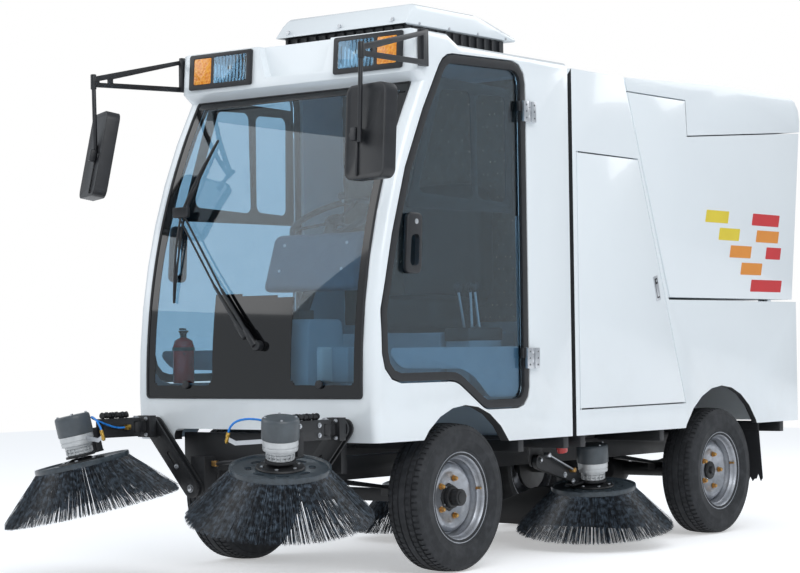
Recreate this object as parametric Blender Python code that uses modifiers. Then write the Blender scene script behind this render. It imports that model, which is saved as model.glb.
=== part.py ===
"""Street sweeper truck: cab-over, two axles, four disc brushes, tipping hopper.

Frame of the tables below: x to the truck's left, y rearwards from the front axle,
z up from the road. The empty "truck" carries everything and centres it on its base.
Metres and radians throughout.
"""
import math

import bmesh
import bpy
from mathutils import Matrix, Vector

# Clearances
SEAT = 0.0003
SHUT = 0.007
PIN_PLAY = 0.0005
OVERRUN = 0.03
WELD = 0.00001

# Overall layout
FRONT_AXLE_Y = -0.863
WHEELBASE = 2.218
TRACK = 1.150
BODY_HALF = 0.670
SILL_Z = 0.543

# Wheels
WHEEL_RADIUS = 0.316
TYRE_WIDTH = 0.185
RIM_RADIUS = 0.195
RIM_SEAT_RADIUS = 0.178
RIM_HALF = 0.080
WHEEL_STEPS = 20
SPINDLE_RADIUS = 0.020
SPINDLE_END = 0.040

# Front suspension and steering
KINGPIN_X = 0.455
KINGPIN_RADIUS = 0.012
STEER_ARM = 0.140
EYE_RADIUS = 0.030
EYE_HALF = 0.030
YOKE_PLATE = 0.022
STEER_BAR_RADIUS = 0.012

# Chassis
RAIL_X = 0.280
RAIL_WIDTH = 0.050
RAIL_Z = 0.400
RAIL_HEIGHT = 0.100
RAIL_FRONT = -0.530
CROSS_WIDTH = 0.040
BEAM_HALF = 0.440
BEAM_DEPTH = 0.040
BEAM_HEIGHT = 0.160

# Cab: the brow stands round the roof's level, and the screen's arc runs back by its sweep at the top
CAB_FRONT = -0.600
CAB_REAR = 0.845
CAB_ROOF = 2.250
CAB_WALL = 0.045
CAB_ROUND = 0.034
APRON_Z = 0.600
GLASS = 0.006
BROW_FRONT = -0.300
BROW_ABOVE = 0.040
BROW_BELOW = 0.142
BROW_Z0 = CAB_ROOF - BROW_BELOW
BROW_Z1 = CAB_ROOF + BROW_ABOVE
SCREEN_HALF = 0.600
SCREEN_Z0 = 0.755
SCREEN_BELOW = 0.038
SCREEN_Z1 = BROW_Z0 - SCREEN_BELOW
SCREEN_SWEEP = 0.3532
SCREEN_ARC_Z = 0.800
SCREEN_ARC = ((SCREEN_Z1 - SCREEN_ARC_Z) ** 2 + SCREEN_SWEEP ** 2) / (2 * SCREEN_SWEEP)
SCREEN_STEPS = 10
FLOOR_Z = 0.712
FLOOR_THICK = 0.030
FRONT_ARCH = 0.392
FRONT_ARCH_BACK = 0.020

# Rear body and hopper: lengths ahead of the rear axle or behind it, heights from the body's roof
BODY_FRONT = 0.878
REAR_OVERHANG = 0.815
BODY_REAR = WHEELBASE + REAR_OVERHANG
RAIL_SHORT = 0.073
RAIL_REAR = BODY_REAR - RAIL_SHORT
BODY_ROOF = 2.226
BODY_WALL = 0.030
BULKHEAD_TOP_AHEAD = 0.890
BULKHEAD_FOOT_AHEAD = 0.502
BULKHEAD_TOP_Y = WHEELBASE - BULKHEAD_TOP_AHEAD
BULKHEAD_FOOT_Y = WHEELBASE - BULKHEAD_FOOT_AHEAD
DECK_Z = 1.173
REAR_ARCH = 0.428
HOPPER_WALL = 0.040
HOPPER_GAP = 0.012
FRONT_GAP = 0.0156
HOPPER_SHORT = 0.047
HOPPER_TAIL = 0.067
HOPPER_REAR_FOOT = BODY_REAR - HOPPER_SHORT
HOPPER_REAR_TOP = BODY_REAR + HOPPER_TAIL
TIP_PIN_INSET = 0.033
TIP_PIN_RISE = 0.024
TIP_PIN_Y = BODY_REAR - TIP_PIN_INSET
TIP_PIN_Z = DECK_Z + TIP_PIN_RISE
TIP_PIN_RADIUS = 0.012
LID_LIFT = 0.040
LID_FALL = 0.004
LID_DEPTH = 0.062
LID_STEP_DEPTH = 0.238
LID_REAR_DEPTH = 0.139
LID_STEP_AHEAD = 0.312
LID_CREST_BEHIND = 0.082
LID_ROUND = 0.110
LID_ROOF = BODY_ROOF + LID_LIFT
LID_Z = BODY_ROOF - LID_DEPTH
LID_STEP_Y = WHEELBASE - LID_STEP_AHEAD
LID_STEP_Z = BODY_ROOF - LID_STEP_DEPTH
LID_REAR_Z = BODY_ROOF - LID_REAR_DEPTH

# Doors
CAB_HINGE_X = 0.684
CAB_HINGE_Y = 0.5065
BARREL_RADIUS = 0.008
DOOR_THICK = 0.034
SEAL_WIDTH = 0.035

# Brushes: disc radius, bristle skirt radius and height, tilt by component
DISC_RADIUS = 0.200
DISC_HALF = 0.010
SKIRT_RADIUS = 0.370
SKIRT_HEIGHT = 0.207
TUFTS = 22
TUFT_TOP_RADIUS = 0.012
TUFT_TIP_RADIUS = 0.036
FRONT_BRUSH = (0.550, -1.050, 0.490)
MID_BRUSH_AHEAD = 0.958
MID_BRUSH = (0.510, WHEELBASE - MID_BRUSH_AHEAD, 0.285)
FRONT_TILT = math.radians(12.0)
FRONT_LEAN = math.radians(-45.0)
MID_TILT = math.radians(7.2)
MID_LEAN = math.radians(-65.0)

# Front arms
BOOM_FOOT = (0.300, 0.365)
BOOM_HEAD = (0.530, 0.630)
BOOM_FACE = -0.6150
BOOM_THICK = 0.040
BOOM_RADIUS = 0.040
ARM_PIN_RADIUS = 0.012
COLLAR_RADIUS = 0.022
COLLAR = 0.006
SWING_Y = -0.750
BEAM_BAR = 0.050
BEAM_BAR_HEIGHT = 0.080

SIDES = (("left", 1), ("right", -1))


def start_clean():
    for obj in list(bpy.data.objects):
        bpy.data.objects.remove(obj, do_unlink=True)


def new_collection(name):
    made = bpy.data.collections.new(name)
    bpy.context.scene.collection.children.link(made)
    return made


start_clean()
PARTS = new_collection("street_sweeper")
TOOLS = new_collection("cutters")


def paint(name, colour, roughness, metallic=0.0):
    made = bpy.data.materials.new(name)
    made.use_nodes = True
    shader = made.node_tree.nodes["Principled BSDF"]
    shader.inputs["Base Color"].default_value = (*colour, 1.0)
    shader.inputs["Roughness"].default_value = roughness
    shader.inputs["Metallic"].default_value = metallic
    return made


PAINTS = {
    "white": ((0.86, 0.89, 0.92), 0.25, 0.0),
    "black": ((0.02, 0.02, 0.022), 0.45, 0.0),
    "frame": ((0.03, 0.03, 0.032), 0.5, 0.3),
    "rubber": ((0.015, 0.015, 0.015), 0.8, 0.0),
    "steel": ((0.55, 0.56, 0.58), 0.35, 0.9),
    "glass": ((0.25, 0.33, 0.38), 0.05, 0.0),
    "bristle": ((0.03, 0.03, 0.035), 0.7, 0.0),
    "alloy": ((0.62, 0.62, 0.62), 0.4, 0.8),
    "trim": ((0.55, 0.66, 0.72), 0.55, 0.0),
    "lamp": ((0.75, 0.72, 0.66), 0.15, 0.0),
}


# Shape helpers. Each returns an object in the cutters collection until it is finished as a part.
def to_tools(mesh, name="tool"):
    obj = bpy.data.objects.new(name, mesh)
    TOOLS.objects.link(obj)
    obj.hide_render = True
    obj.display_type = "WIRE"
    return obj


def from_bmesh(bm):
    mesh = bpy.data.meshes.new("tool")
    bm.to_mesh(mesh)
    bm.free()
    return to_tools(mesh)


def box(x0, x1, y0, y1, z0, z1):
    bm = bmesh.new()
    size = Vector((abs(x1 - x0), abs(y1 - y0), abs(z1 - z0)))
    middle = Vector((x0 + x1, y0 + y1, z0 + z1)) / 2
    matrix = Matrix.Translation(middle) @ Matrix.Diagonal((*size, 1.0))
    bmesh.ops.create_cube(bm, size=1.0, matrix=matrix)
    return from_bmesh(bm)


def side_box(side, x0, x1, y0, y1, z0, z1):
    return box(side * x0, side * x1, y0, y1, z0, z1)


def rod(start, end, radius, steps=12, end_radius=None):
    start = Vector(start)
    run = Vector(end) - start
    turn = run.to_track_quat("Z", "Y").to_matrix().to_4x4()
    matrix = Matrix.Translation(start + run / 2) @ turn
    bm = bmesh.new()
    last = radius if end_radius is None else end_radius
    bmesh.ops.create_cone(bm, cap_ends=True, segments=steps, radius1=radius, radius2=last,
                          depth=run.length, matrix=matrix)
    return from_bmesh(bm)


ALONG_X = Matrix(((0, 0, 1, 0), (1, 0, 0, 0), (0, 1, 0, 0), (0, 0, 0, 1)))
ALONG_Y = Matrix(((1, 0, 0, 0), (0, 0, -1, 0), (0, 1, 0, 0), (0, 0, 0, 1)))


def slab(points, thickness, matrix):
    """Flat outline of the given thickness, centred on its plane, as one welded mesh."""
    curve = bpy.data.curves.new("outline", "CURVE")
    curve.dimensions = "2D"
    curve.fill_mode = "BOTH"
    curve.extrude = thickness / 2
    spline = curve.splines.new("POLY")
    spline.points.add(len(points) - 1)
    for point, (u, v) in zip(spline.points, points):
        point.co = (u, v, 0.0, 1.0)
    spline.use_cyclic_u = True
    holder = bpy.data.objects.new("outline", curve)
    TOOLS.objects.link(holder)
    bpy.context.view_layer.update()
    mesh = bpy.data.meshes.new_from_object(holder.evaluated_get(bpy.context.evaluated_depsgraph_get()))
    bpy.data.objects.remove(holder)
    bm = bmesh.new()
    bm.from_mesh(mesh)
    bmesh.ops.remove_doubles(bm, verts=bm.verts, dist=WELD)
    bmesh.ops.dissolve_limit(bm, angle_limit=math.radians(0.2), verts=bm.verts, edges=bm.edges)
    bmesh.ops.transform(bm, matrix=matrix, verts=bm.verts)
    bmesh.ops.recalc_face_normals(bm, faces=bm.faces)
    if bm.calc_volume(signed=True) < 0:
        bmesh.ops.reverse_faces(bm, faces=bm.faces)
    bm.to_mesh(mesh)
    bm.free()
    return to_tools(mesh)


def side_plate(points, x0, x1):
    """Outline in (y, z), from x0 to x1."""
    shift = Matrix.Translation(((x0 + x1) / 2, 0, 0))
    return slab(points, abs(x1 - x0), shift @ ALONG_X)


def front_plate(points, y0, y1):
    """Outline in (x, z), from y0 to y1."""
    shift = Matrix.Translation((0, (y0 + y1) / 2, 0))
    return slab(points, abs(y1 - y0), shift @ ALONG_Y)


def floor_plate(points, z0, z1):
    """Outline in (x, y), from z0 to z1."""
    return slab(points, abs(z1 - z0), Matrix.Translation((0, 0, (z0 + z1) / 2)))


def arc(centre, radius, start_deg, end_deg, steps):
    turn = math.radians(end_deg - start_deg) / steps
    first = math.radians(start_deg)
    return [(centre[0] + radius * math.cos(first + turn * i),
             centre[1] + radius * math.sin(first + turn * i)) for i in range(steps + 1)]


def rounded(corners, steps=3):
    """Outline from corners (u, v, radius): each corner becomes an arc of that radius."""
    points = []
    count = len(corners)
    for i, (u, v, radius) in enumerate(corners):
        here = Vector((u, v))
        before = (Vector(corners[i - 1][:2]) - here).normalized()
        after = (Vector(corners[(i + 1) % count][:2]) - here).normalized()
        if radius <= 0:
            points.append((u, v))
            continue
        half = before.angle(after) / 2
        reach = radius / math.tan(half)
        centre = here + (before + after).normalized() * radius / math.sin(half)
        first = here + before * reach - centre
        last = here + after * reach - centre
        sweep = first.angle_signed(last)
        for k in range(steps + 1):
            step = Matrix.Rotation(-sweep * k / steps, 2) @ first
            points.append(tuple(centre + step))
    return points


def offset(points, distance):
    """The outline moved outwards by the distance; points run counter-clockwise."""
    moved = []
    count = len(points)
    for i in range(count):
        here = Vector(points[i])
        into = (here - Vector(points[i - 1])).normalized()
        away = (Vector(points[(i + 1) % count]) - here).normalized()
        normal_in = Vector((into.y, -into.x))
        normal_out = Vector((away.y, -away.x))
        miter = (normal_in + normal_out).normalized()
        moved.append(tuple(here + miter * distance / miter.dot(normal_in)))
    return moved


def turned(profile, steps, closed=False):
    """Revolve (radius, height) points about local Z; the outer side runs top to bottom."""
    mesh = bpy.data.meshes.new("tool")
    edges = [(i, i + 1) for i in range(len(profile) - 1)]
    if closed:
        edges.append((len(profile) - 1, 0))
    mesh.from_pydata([(radius, 0.0, height) for radius, height in profile], edges, [])
    obj = to_tools(mesh)
    screw = obj.modifiers.new("Turn", "SCREW")
    screw.steps = steps
    screw.render_steps = steps
    screw.use_merge_vertices = True
    screw.merge_threshold = WELD
    return obj


def boolean(obj, tools, operation):
    for tool in tools:
        modifier = obj.modifiers.new(operation.title(), "BOOLEAN")
        modifier.operation = operation
        modifier.solver = "EXACT"
        modifier.object = tool


def add(obj, *tools):
    boolean(obj, tools, "UNION")


def cut(obj, *tools):
    boolean(obj, tools, "DIFFERENCE")


def finish(obj, name, colour, carrier=None):
    """Name the piece, paint it and move it to the parts."""
    obj.name = name
    obj.data.name = name
    TOOLS.objects.unlink(obj)
    PARTS.objects.link(obj)
    obj.hide_render = False
    obj.display_type = "TEXTURED"
    look = paint(name, *PAINTS[colour])
    obj.data.materials.clear()
    obj.data.materials.append(look)
    CARRIED.append((obj, carrier))
    return obj


CARRIED = []
PIVOTS = {}


def pivot(name, place, carrier=None):
    """Empty on a joint's axis; a moving piece is carried by it."""
    made = bpy.data.objects.new(name, None)
    PARTS.objects.link(made)
    made.empty_display_size = WHEEL_RADIUS
    made.location = place
    PIVOTS[name] = made
    if carrier:
        made.parent = PIVOTS[carrier]
        made.location = Vector(place) - origin_of(PIVOTS[carrier])
    return made


def origin_of(empty):
    place = Vector(empty.location)
    while empty.parent:
        empty = empty.parent
        place = place + Vector(empty.location)
    return place


def assemble():
    """Parent each piece to the pivot that carries it, then move the truck to its own origin."""
    truck = bpy.data.objects.new("truck", None)
    PARTS.objects.link(truck)
    for obj, carrier in CARRIED:
        obj.parent = PIVOTS[carrier] if carrier else truck
        if carrier:
            obj.matrix_parent_inverse = Matrix.Translation(-origin_of(PIVOTS[carrier]))
    for empty in PIVOTS.values():
        if empty.parent is None:
            empty.parent = truck
    for tool in TOOLS.objects:
        tool.parent = truck
    truck.location = (0.0, FRONT_AXLE_Y, 0.0)


# Chassis frame: two rails, outriggers under both bodies, front beam with the arm pins
FRONT_OUTRIGGER_Y = 0.440
HANGER_SPACING = 0.140
DECK_OUTRIGGER_AHEAD = 0.578
REAR_OUTRIGGER_INSET = 0.100
HANGER_AHEAD = 0.390
HANGER_Y = MID_BRUSH[1] - HANGER_AHEAD
OUTRIGGERS = (FRONT_OUTRIGGER_Y, HANGER_Y - HANGER_SPACING / 2, HANGER_Y + HANGER_SPACING / 2,
              WHEELBASE - DECK_OUTRIGGER_AHEAD, RAIL_REAR - REAR_OUTRIGGER_INSET)


def chassis():
    inner = RAIL_X - RAIL_WIDTH / 2
    outer = RAIL_X + RAIL_WIDTH / 2
    top = RAIL_Z + RAIL_HEIGHT
    frame = box(inner, outer, RAIL_FRONT, RAIL_REAR, RAIL_Z, top)
    add(frame, box(-outer, -inner, RAIL_FRONT, RAIL_REAR, RAIL_Z, top))
    reach = BODY_HALF - BODY_WALL / 4
    for y in OUTRIGGERS:
        add(frame, box(-reach, reach, y - CROSS_WIDTH / 2, y + CROSS_WIDTH / 2,
                       top - CROSS_WIDTH / 4, SILL_Z - SEAT))
    for y in (RAIL_FRONT + CROSS_WIDTH, RAIL_REAR - CROSS_WIDTH):
        add(frame, box(-inner - CROSS_WIDTH / 2, inner + CROSS_WIDTH / 2, y - CROSS_WIDTH / 2,
                       y + CROSS_WIDTH / 2, RAIL_Z + CROSS_WIDTH / 2, top - CROSS_WIDTH / 4))
    beam_back = RAIL_FRONT + CROSS_WIDTH * 0.75
    add(frame, box(-BEAM_HALF, BEAM_HALF, beam_back - BEAM_DEPTH, beam_back,
                   RAIL_Z + CROSS_WIDTH, RAIL_Z + CROSS_WIDTH + BEAM_HEIGHT))
    for _, side in SIDES:
        foot_x, foot_z = BOOM_FOOT
        face = BOOM_FACE + COLLAR
        plate = rounded([(side * (foot_x - BOOM_RADIUS), foot_z - BOOM_RADIUS, BOOM_RADIUS / 2),
                         (side * (foot_x + BOOM_RADIUS), foot_z - BOOM_RADIUS, BOOM_RADIUS / 2),
                         (side * (foot_x + BOOM_RADIUS), RAIL_Z + RAIL_HEIGHT, 0),
                         (side * (foot_x - BOOM_RADIUS), RAIL_Z + RAIL_HEIGHT, 0)][::side])
        add(frame, front_plate(plate, face, beam_back - BEAM_DEPTH / 2))
        add(frame, rod((side * foot_x, face + COLLAR, foot_z),
                       (side * foot_x, BOOM_FACE + SEAT, foot_z), COLLAR_RADIUS))
        add(frame, rod((side * foot_x, face + COLLAR, foot_z),
                       (side * foot_x, BOOM_FACE - BOOM_THICK - COLLAR, foot_z), ARM_PIN_RADIUS))
        add(frame, mid_hanger(side))
    finish(frame, "chassis_frame", "frame")


# Axles with leaf springs; the beam or tube and both springs are one piece
SPRING_HALF = 0.380
SPRING_THICK = 0.014
AXLE_HALF = 0.030
PAD = 0.050


def leaf_spring(x, axle_y, axle_top):
    rise = RAIL_Z - SEAT
    outline = [(axle_y - PAD, axle_top - AXLE_HALF), (axle_y + PAD, axle_top - AXLE_HALF),
               (axle_y + PAD, axle_top), (axle_y + SPRING_HALF, rise - SPRING_THICK),
               (axle_y + SPRING_HALF, rise), (axle_y + SPRING_HALF - PAD, rise),
               (axle_y + PAD, axle_top + SPRING_THICK), (axle_y - PAD, axle_top + SPRING_THICK),
               (axle_y - SPRING_HALF + PAD, rise), (axle_y - SPRING_HALF, rise),
               (axle_y - SPRING_HALF, rise - SPRING_THICK), (axle_y - PAD, axle_top)]
    return side_plate(outline, x - RAIL_WIDTH / 2 + SPRING_THICK / 4, x + RAIL_WIDTH / 2 - SPRING_THICK / 4)


def front_axle():
    top = WHEEL_RADIUS + AXLE_HALF
    beam = box(-KINGPIN_X, KINGPIN_X, -AXLE_HALF * 0.8, AXLE_HALF * 0.8,
               WHEEL_RADIUS - AXLE_HALF * 0.9, WHEEL_RADIUS + AXLE_HALF * 0.9)
    for _, side in SIDES:
        add(beam, leaf_spring(side * RAIL_X, 0.0, top))
        add(beam, rod((side * KINGPIN_X, 0, WHEEL_RADIUS - EYE_HALF),
                      (side * KINGPIN_X, 0, WHEEL_RADIUS + EYE_HALF), EYE_RADIUS, 12))
    for _, side in SIDES:
        cut(beam, rod((side * KINGPIN_X, 0, WHEEL_RADIUS - EYE_HALF - OVERRUN),
                      (side * KINGPIN_X, 0, WHEEL_RADIUS + EYE_HALF + OVERRUN),
                      KINGPIN_RADIUS + PIN_PLAY))
    finish(beam, "front_axle", "frame")


REAR_TUBE = 0.036
DIFFERENTIAL = 0.105
HUB_BACK = 0.060
BACKPLATE = 0.012
BACKPLATE_RADIUS = 0.125


def rear_axle():
    end = TRACK / 2 - HUB_BACK - BACKPLATE
    tube = rod((-end, WHEELBASE, WHEEL_RADIUS), (end, WHEELBASE, WHEEL_RADIUS), REAR_TUBE, 12)
    case = turned([(0, DIFFERENTIAL), (DIFFERENTIAL * 0.7, DIFFERENTIAL * 0.75),
                   (DIFFERENTIAL, DIFFERENTIAL * 0.2), (DIFFERENTIAL, -DIFFERENTIAL * 0.2),
                   (DIFFERENTIAL * 0.7, -DIFFERENTIAL * 0.75), (0, -DIFFERENTIAL)], 16)
    case.location = (0, WHEELBASE, WHEEL_RADIUS)
    case.rotation_euler = (math.pi / 2, 0, 0)
    add(tube, case)
    for _, side in SIDES:
        add(tube, leaf_spring(side * RAIL_X, WHEELBASE, WHEEL_RADIUS + AXLE_HALF))
        add(tube, rod((side * (end - BACKPLATE), WHEELBASE, WHEEL_RADIUS),
                      (side * (end + BACKPLATE / 2), WHEELBASE, WHEEL_RADIUS), BACKPLATE_RADIUS, 16))
        add(tube, rod((side * (end - BACKPLATE), WHEELBASE, WHEEL_RADIUS),
                      (side * (TRACK / 2 + SPINDLE_END), WHEELBASE, WHEEL_RADIUS), SPINDLE_RADIUS))
    finish(tube, "rear_axle", "frame")


# Knuckle: yoke over the axle eye, kingpin, spindle and steering arm
def knuckle(label, side):
    web_in = KINGPIN_X + EYE_RADIUS + COLLAR
    web_out = TRACK / 2 - HUB_BACK - COLLAR
    low = WHEEL_RADIUS - EYE_HALF - SEAT
    high = WHEEL_RADIUS + EYE_HALF + SEAT
    deep = EYE_RADIUS * 0.9
    body = side_box(side, web_in, web_out, -deep, deep, low - YOKE_PLATE, high + YOKE_PLATE)
    for z0, z1 in ((low - YOKE_PLATE, low), (high, high + YOKE_PLATE)):
        add(body, side_box(side, KINGPIN_X, web_in + COLLAR, -deep, deep, z0, z1))
        add(body, rod((side * KINGPIN_X, 0, z0), (side * KINGPIN_X, 0, z1), EYE_RADIUS, 12))
    add(body, rod((side * KINGPIN_X, 0, low - YOKE_PLATE / 2),
                  (side * KINGPIN_X, 0, high + YOKE_PLATE / 2), KINGPIN_RADIUS))
    add(body, rod((side * web_in, 0, WHEEL_RADIUS),
                  (side * (TRACK / 2 + SPINDLE_END), 0, WHEEL_RADIUS), SPINDLE_RADIUS))
    arm = rounded([(side * (KINGPIN_X - STEER_BAR_RADIUS * 1.5), 0, 0),
                   (side * (KINGPIN_X + STEER_BAR_RADIUS * 1.5), 0, 0),
                   (side * (KINGPIN_X + STEER_BAR_RADIUS * 1.5), STEER_ARM + STEER_BAR_RADIUS * 1.5,
                    STEER_BAR_RADIUS),
                   (side * (KINGPIN_X - STEER_BAR_RADIUS * 1.5), STEER_ARM + STEER_BAR_RADIUS * 1.5,
                    STEER_BAR_RADIUS)][::side])
    add(body, floor_plate(arm, low - YOKE_PLATE * 0.9, low - YOKE_PLATE / 3))
    cut(body, rod((side * KINGPIN_X, STEER_ARM, low - YOKE_PLATE - OVERRUN),
                  (side * KINGPIN_X, STEER_ARM, low), TIE_PIN_RADIUS + PIN_PLAY))
    pivot("steer_" + label, (side * KINGPIN_X, 0, WHEEL_RADIUS))
    finish(body, "knuckle_" + label, "frame", "steer_" + label)


TIE_PIN_RADIUS = 0.006


def tie_rod():
    arm_top = WHEEL_RADIUS - EYE_HALF - SEAT - YOKE_PLATE / 3
    low = arm_top + SEAT
    high = low + STEER_BAR_RADIUS * 2
    bar = rod((-KINGPIN_X, STEER_ARM, (low + high) / 2), (KINGPIN_X, STEER_ARM, (low + high) / 2),
              STEER_BAR_RADIUS * 0.75, 12)
    for _, side in SIDES:
        add(bar, rod((side * KINGPIN_X, STEER_ARM, low), (side * KINGPIN_X, STEER_ARM, high),
                     STEER_BAR_RADIUS * 1.2))
        add(bar, rod((side * KINGPIN_X, STEER_ARM, low - YOKE_PLATE),
                     (side * KINGPIN_X, STEER_ARM, high - STEER_BAR_RADIUS), TIE_PIN_RADIUS, 12))
    pivot("tie_rod_joint", (KINGPIN_X, STEER_ARM, low), "steer_left")
    finish(bar, "tie_rod", "steel", "tie_rod_joint")


# Wheels. Profile tables hold shares: of the rim radius and the rim half width, and for the tyre
# of its height over the seat and of its half width.
SEAT_SHARE = RIM_SEAT_RADIUS / RIM_RADIUS
RIM_SHARES = ((0.0, 0.93), (0.18, 0.88), (0.21, 0.48), (0.58, 0.38), (0.74, 0.12),
              (0.86, 0.52), (0.96, 1.0), (1.0, 1.0), (SEAT_SHARE, 0.80), (0.82, 0.0),
              (SEAT_SHARE, -0.80), (1.0, -1.0), (0.92, -0.94), (0.76, -0.06), (0.60, -0.72))
TYRE_SHARES = ((0.0, 0.67), (0.16, 0.80), (0.55, 1.0), (0.90, 0.88), (1.0, 0.66),
               (1.0, -0.66), (0.90, -0.88), (0.55, -1.0), (0.16, -0.80), (0.0, -0.67),
               (0.0, -0.48), (0.82, -0.70), (0.82, 0.70), (0.0, 0.48))


def wheel(place, side, y, carrier):
    spin = "spin_" + place
    centre = (side * TRACK / 2, y, WHEEL_RADIUS)
    pivot(spin, centre, carrier)
    bore = SPINDLE_RADIUS + PIN_PLAY
    profile = [(r * RIM_RADIUS, z * RIM_HALF) for r, z in RIM_SHARES]
    profile += [(bore, RIM_SHARES[-1][1] * RIM_HALF), (bore, SPINDLE_END + COLLAR),
                (0, SPINDLE_END + COLLAR)]
    rim = turned(profile, WHEEL_STEPS)
    flat = 1 / math.cos(math.pi / WHEEL_STEPS)
    seat = RIM_SEAT_RADIUS + SEAT
    height = WHEEL_RADIUS * flat - seat
    loop = [(seat + r * height, z * TYRE_WIDTH / 2) for r, z in TYRE_SHARES]
    tyre = turned(loop, WHEEL_STEPS, closed=True)
    for obj in (rim, tyre):
        obj.rotation_euler = (math.pi / WHEEL_STEPS if side > 0 else -math.pi / WHEEL_STEPS,
                              side * math.pi / 2, 0)
        obj.rotation_mode = "YXZ"
        obj.location = centre
    finish(rim, "rim_" + place, "alloy", spin)
    finish(tyre, "tyre_" + place, "rubber", spin)


def wheels():
    for label, side in SIDES:
        wheel("front_" + label, side, 0.0, "steer_" + label)
        wheel("rear_" + label, side, WHEELBASE, None)


# Cab shell: curved front with brow, open below, cut for screen, doors and wheel arches
def screen_y(z, inset=0.0):
    """Height z on the arc of the cab's front, moved in by the inset."""
    radius = SCREEN_ARC - inset
    return CAB_FRONT + SCREEN_ARC - math.sqrt(radius ** 2 - (z - SCREEN_ARC_Z) ** 2)


def screen_arc(z0, z1, inset, steps):
    return [(screen_y(z0 + (z1 - z0) * i / steps, inset), z0 + (z1 - z0) * i / steps)
            for i in range(steps + 1)]


def facet_y(z):
    """Height z on the flat facet of the windscreen that it meets."""
    low = SCREEN_Z0 + SEAT
    pitch = (SCREEN_Z1 - SEAT - low) / SCREEN_STEPS
    start = low + pitch * math.floor((z - low) / pitch)
    share = (z - start) / pitch
    return screen_y(start) * (1 - share) + screen_y(start + pitch) * share


# Door outline: shares of the length from nose to rear edge, of the height from sill to roof, of the round
DOOR_REAR = 0.500
DOOR_ROUND = 0.150
DOOR_SHARES = ((1.0, 0.0861, 0.567), (1.0, 0.9777, 0.600), (0.4545, 0.9684, 0.733),
               (0.3182, 0.8243, 0), (0.2036, 0.6772, 0), (0.1182, 0.5138, 0),
               (0.0464, 0.3322, 0.667), (0.0527, 0.1599, 0.800), (0.5091, 0.1599, 1.0),
               (0.7000, 0.0861, 0.667))


def door_outline():
    long = DOOR_REAR - CAB_FRONT
    high = CAB_ROOF - SILL_Z
    return rounded([(CAB_FRONT + u * long, SILL_Z + v * high, turn * DOOR_ROUND)
                    for u, v, turn in DOOR_SHARES])


def round_sides(obj, keep_rear, keep_bottom):
    """Round the shell's edges along its sides, but not those at its rear or its foot."""
    bm = bmesh.new()
    bm.from_mesh(obj.data)
    chosen = []
    for edge in bm.edges:
        a, b = (v.co for v in edge.verts)
        if abs(a.x - b.x) > WELD:
            continue
        if min(a.y, b.y) > keep_rear - WELD or max(a.z, b.z) < keep_bottom + WELD:
            continue
        faces = edge.link_faces
        leans = [abs(face.normal.x) for face in faces]
        if max(leans) > 0.9 and min(leans) < 0.1:
            chosen.append(edge)
    bmesh.ops.bevel(bm, geom=chosen, offset=CAB_ROUND, segments=3, profile=0.5, affect="EDGES")
    bmesh.ops.dissolve_degenerate(bm, dist=WELD, edges=bm.edges)
    bm.to_mesh(obj.data)
    bm.free()


BROW_LEAN = 0.012


def brow_y(z):
    return BROW_FRONT + BROW_LEAN * (z - BROW_Z0) / (BROW_Z1 - BROW_Z0)


RECESS_HALF = 0.215
RECESS_SLOPE = 0.050
RECESS_RISE = 0.042
ROOF_BEND_Y = 0.020
BROW_BACK_Y = -0.060
HOLLOW_FRONT_Y = -0.100
SHELL_STEPS = 8


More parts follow.
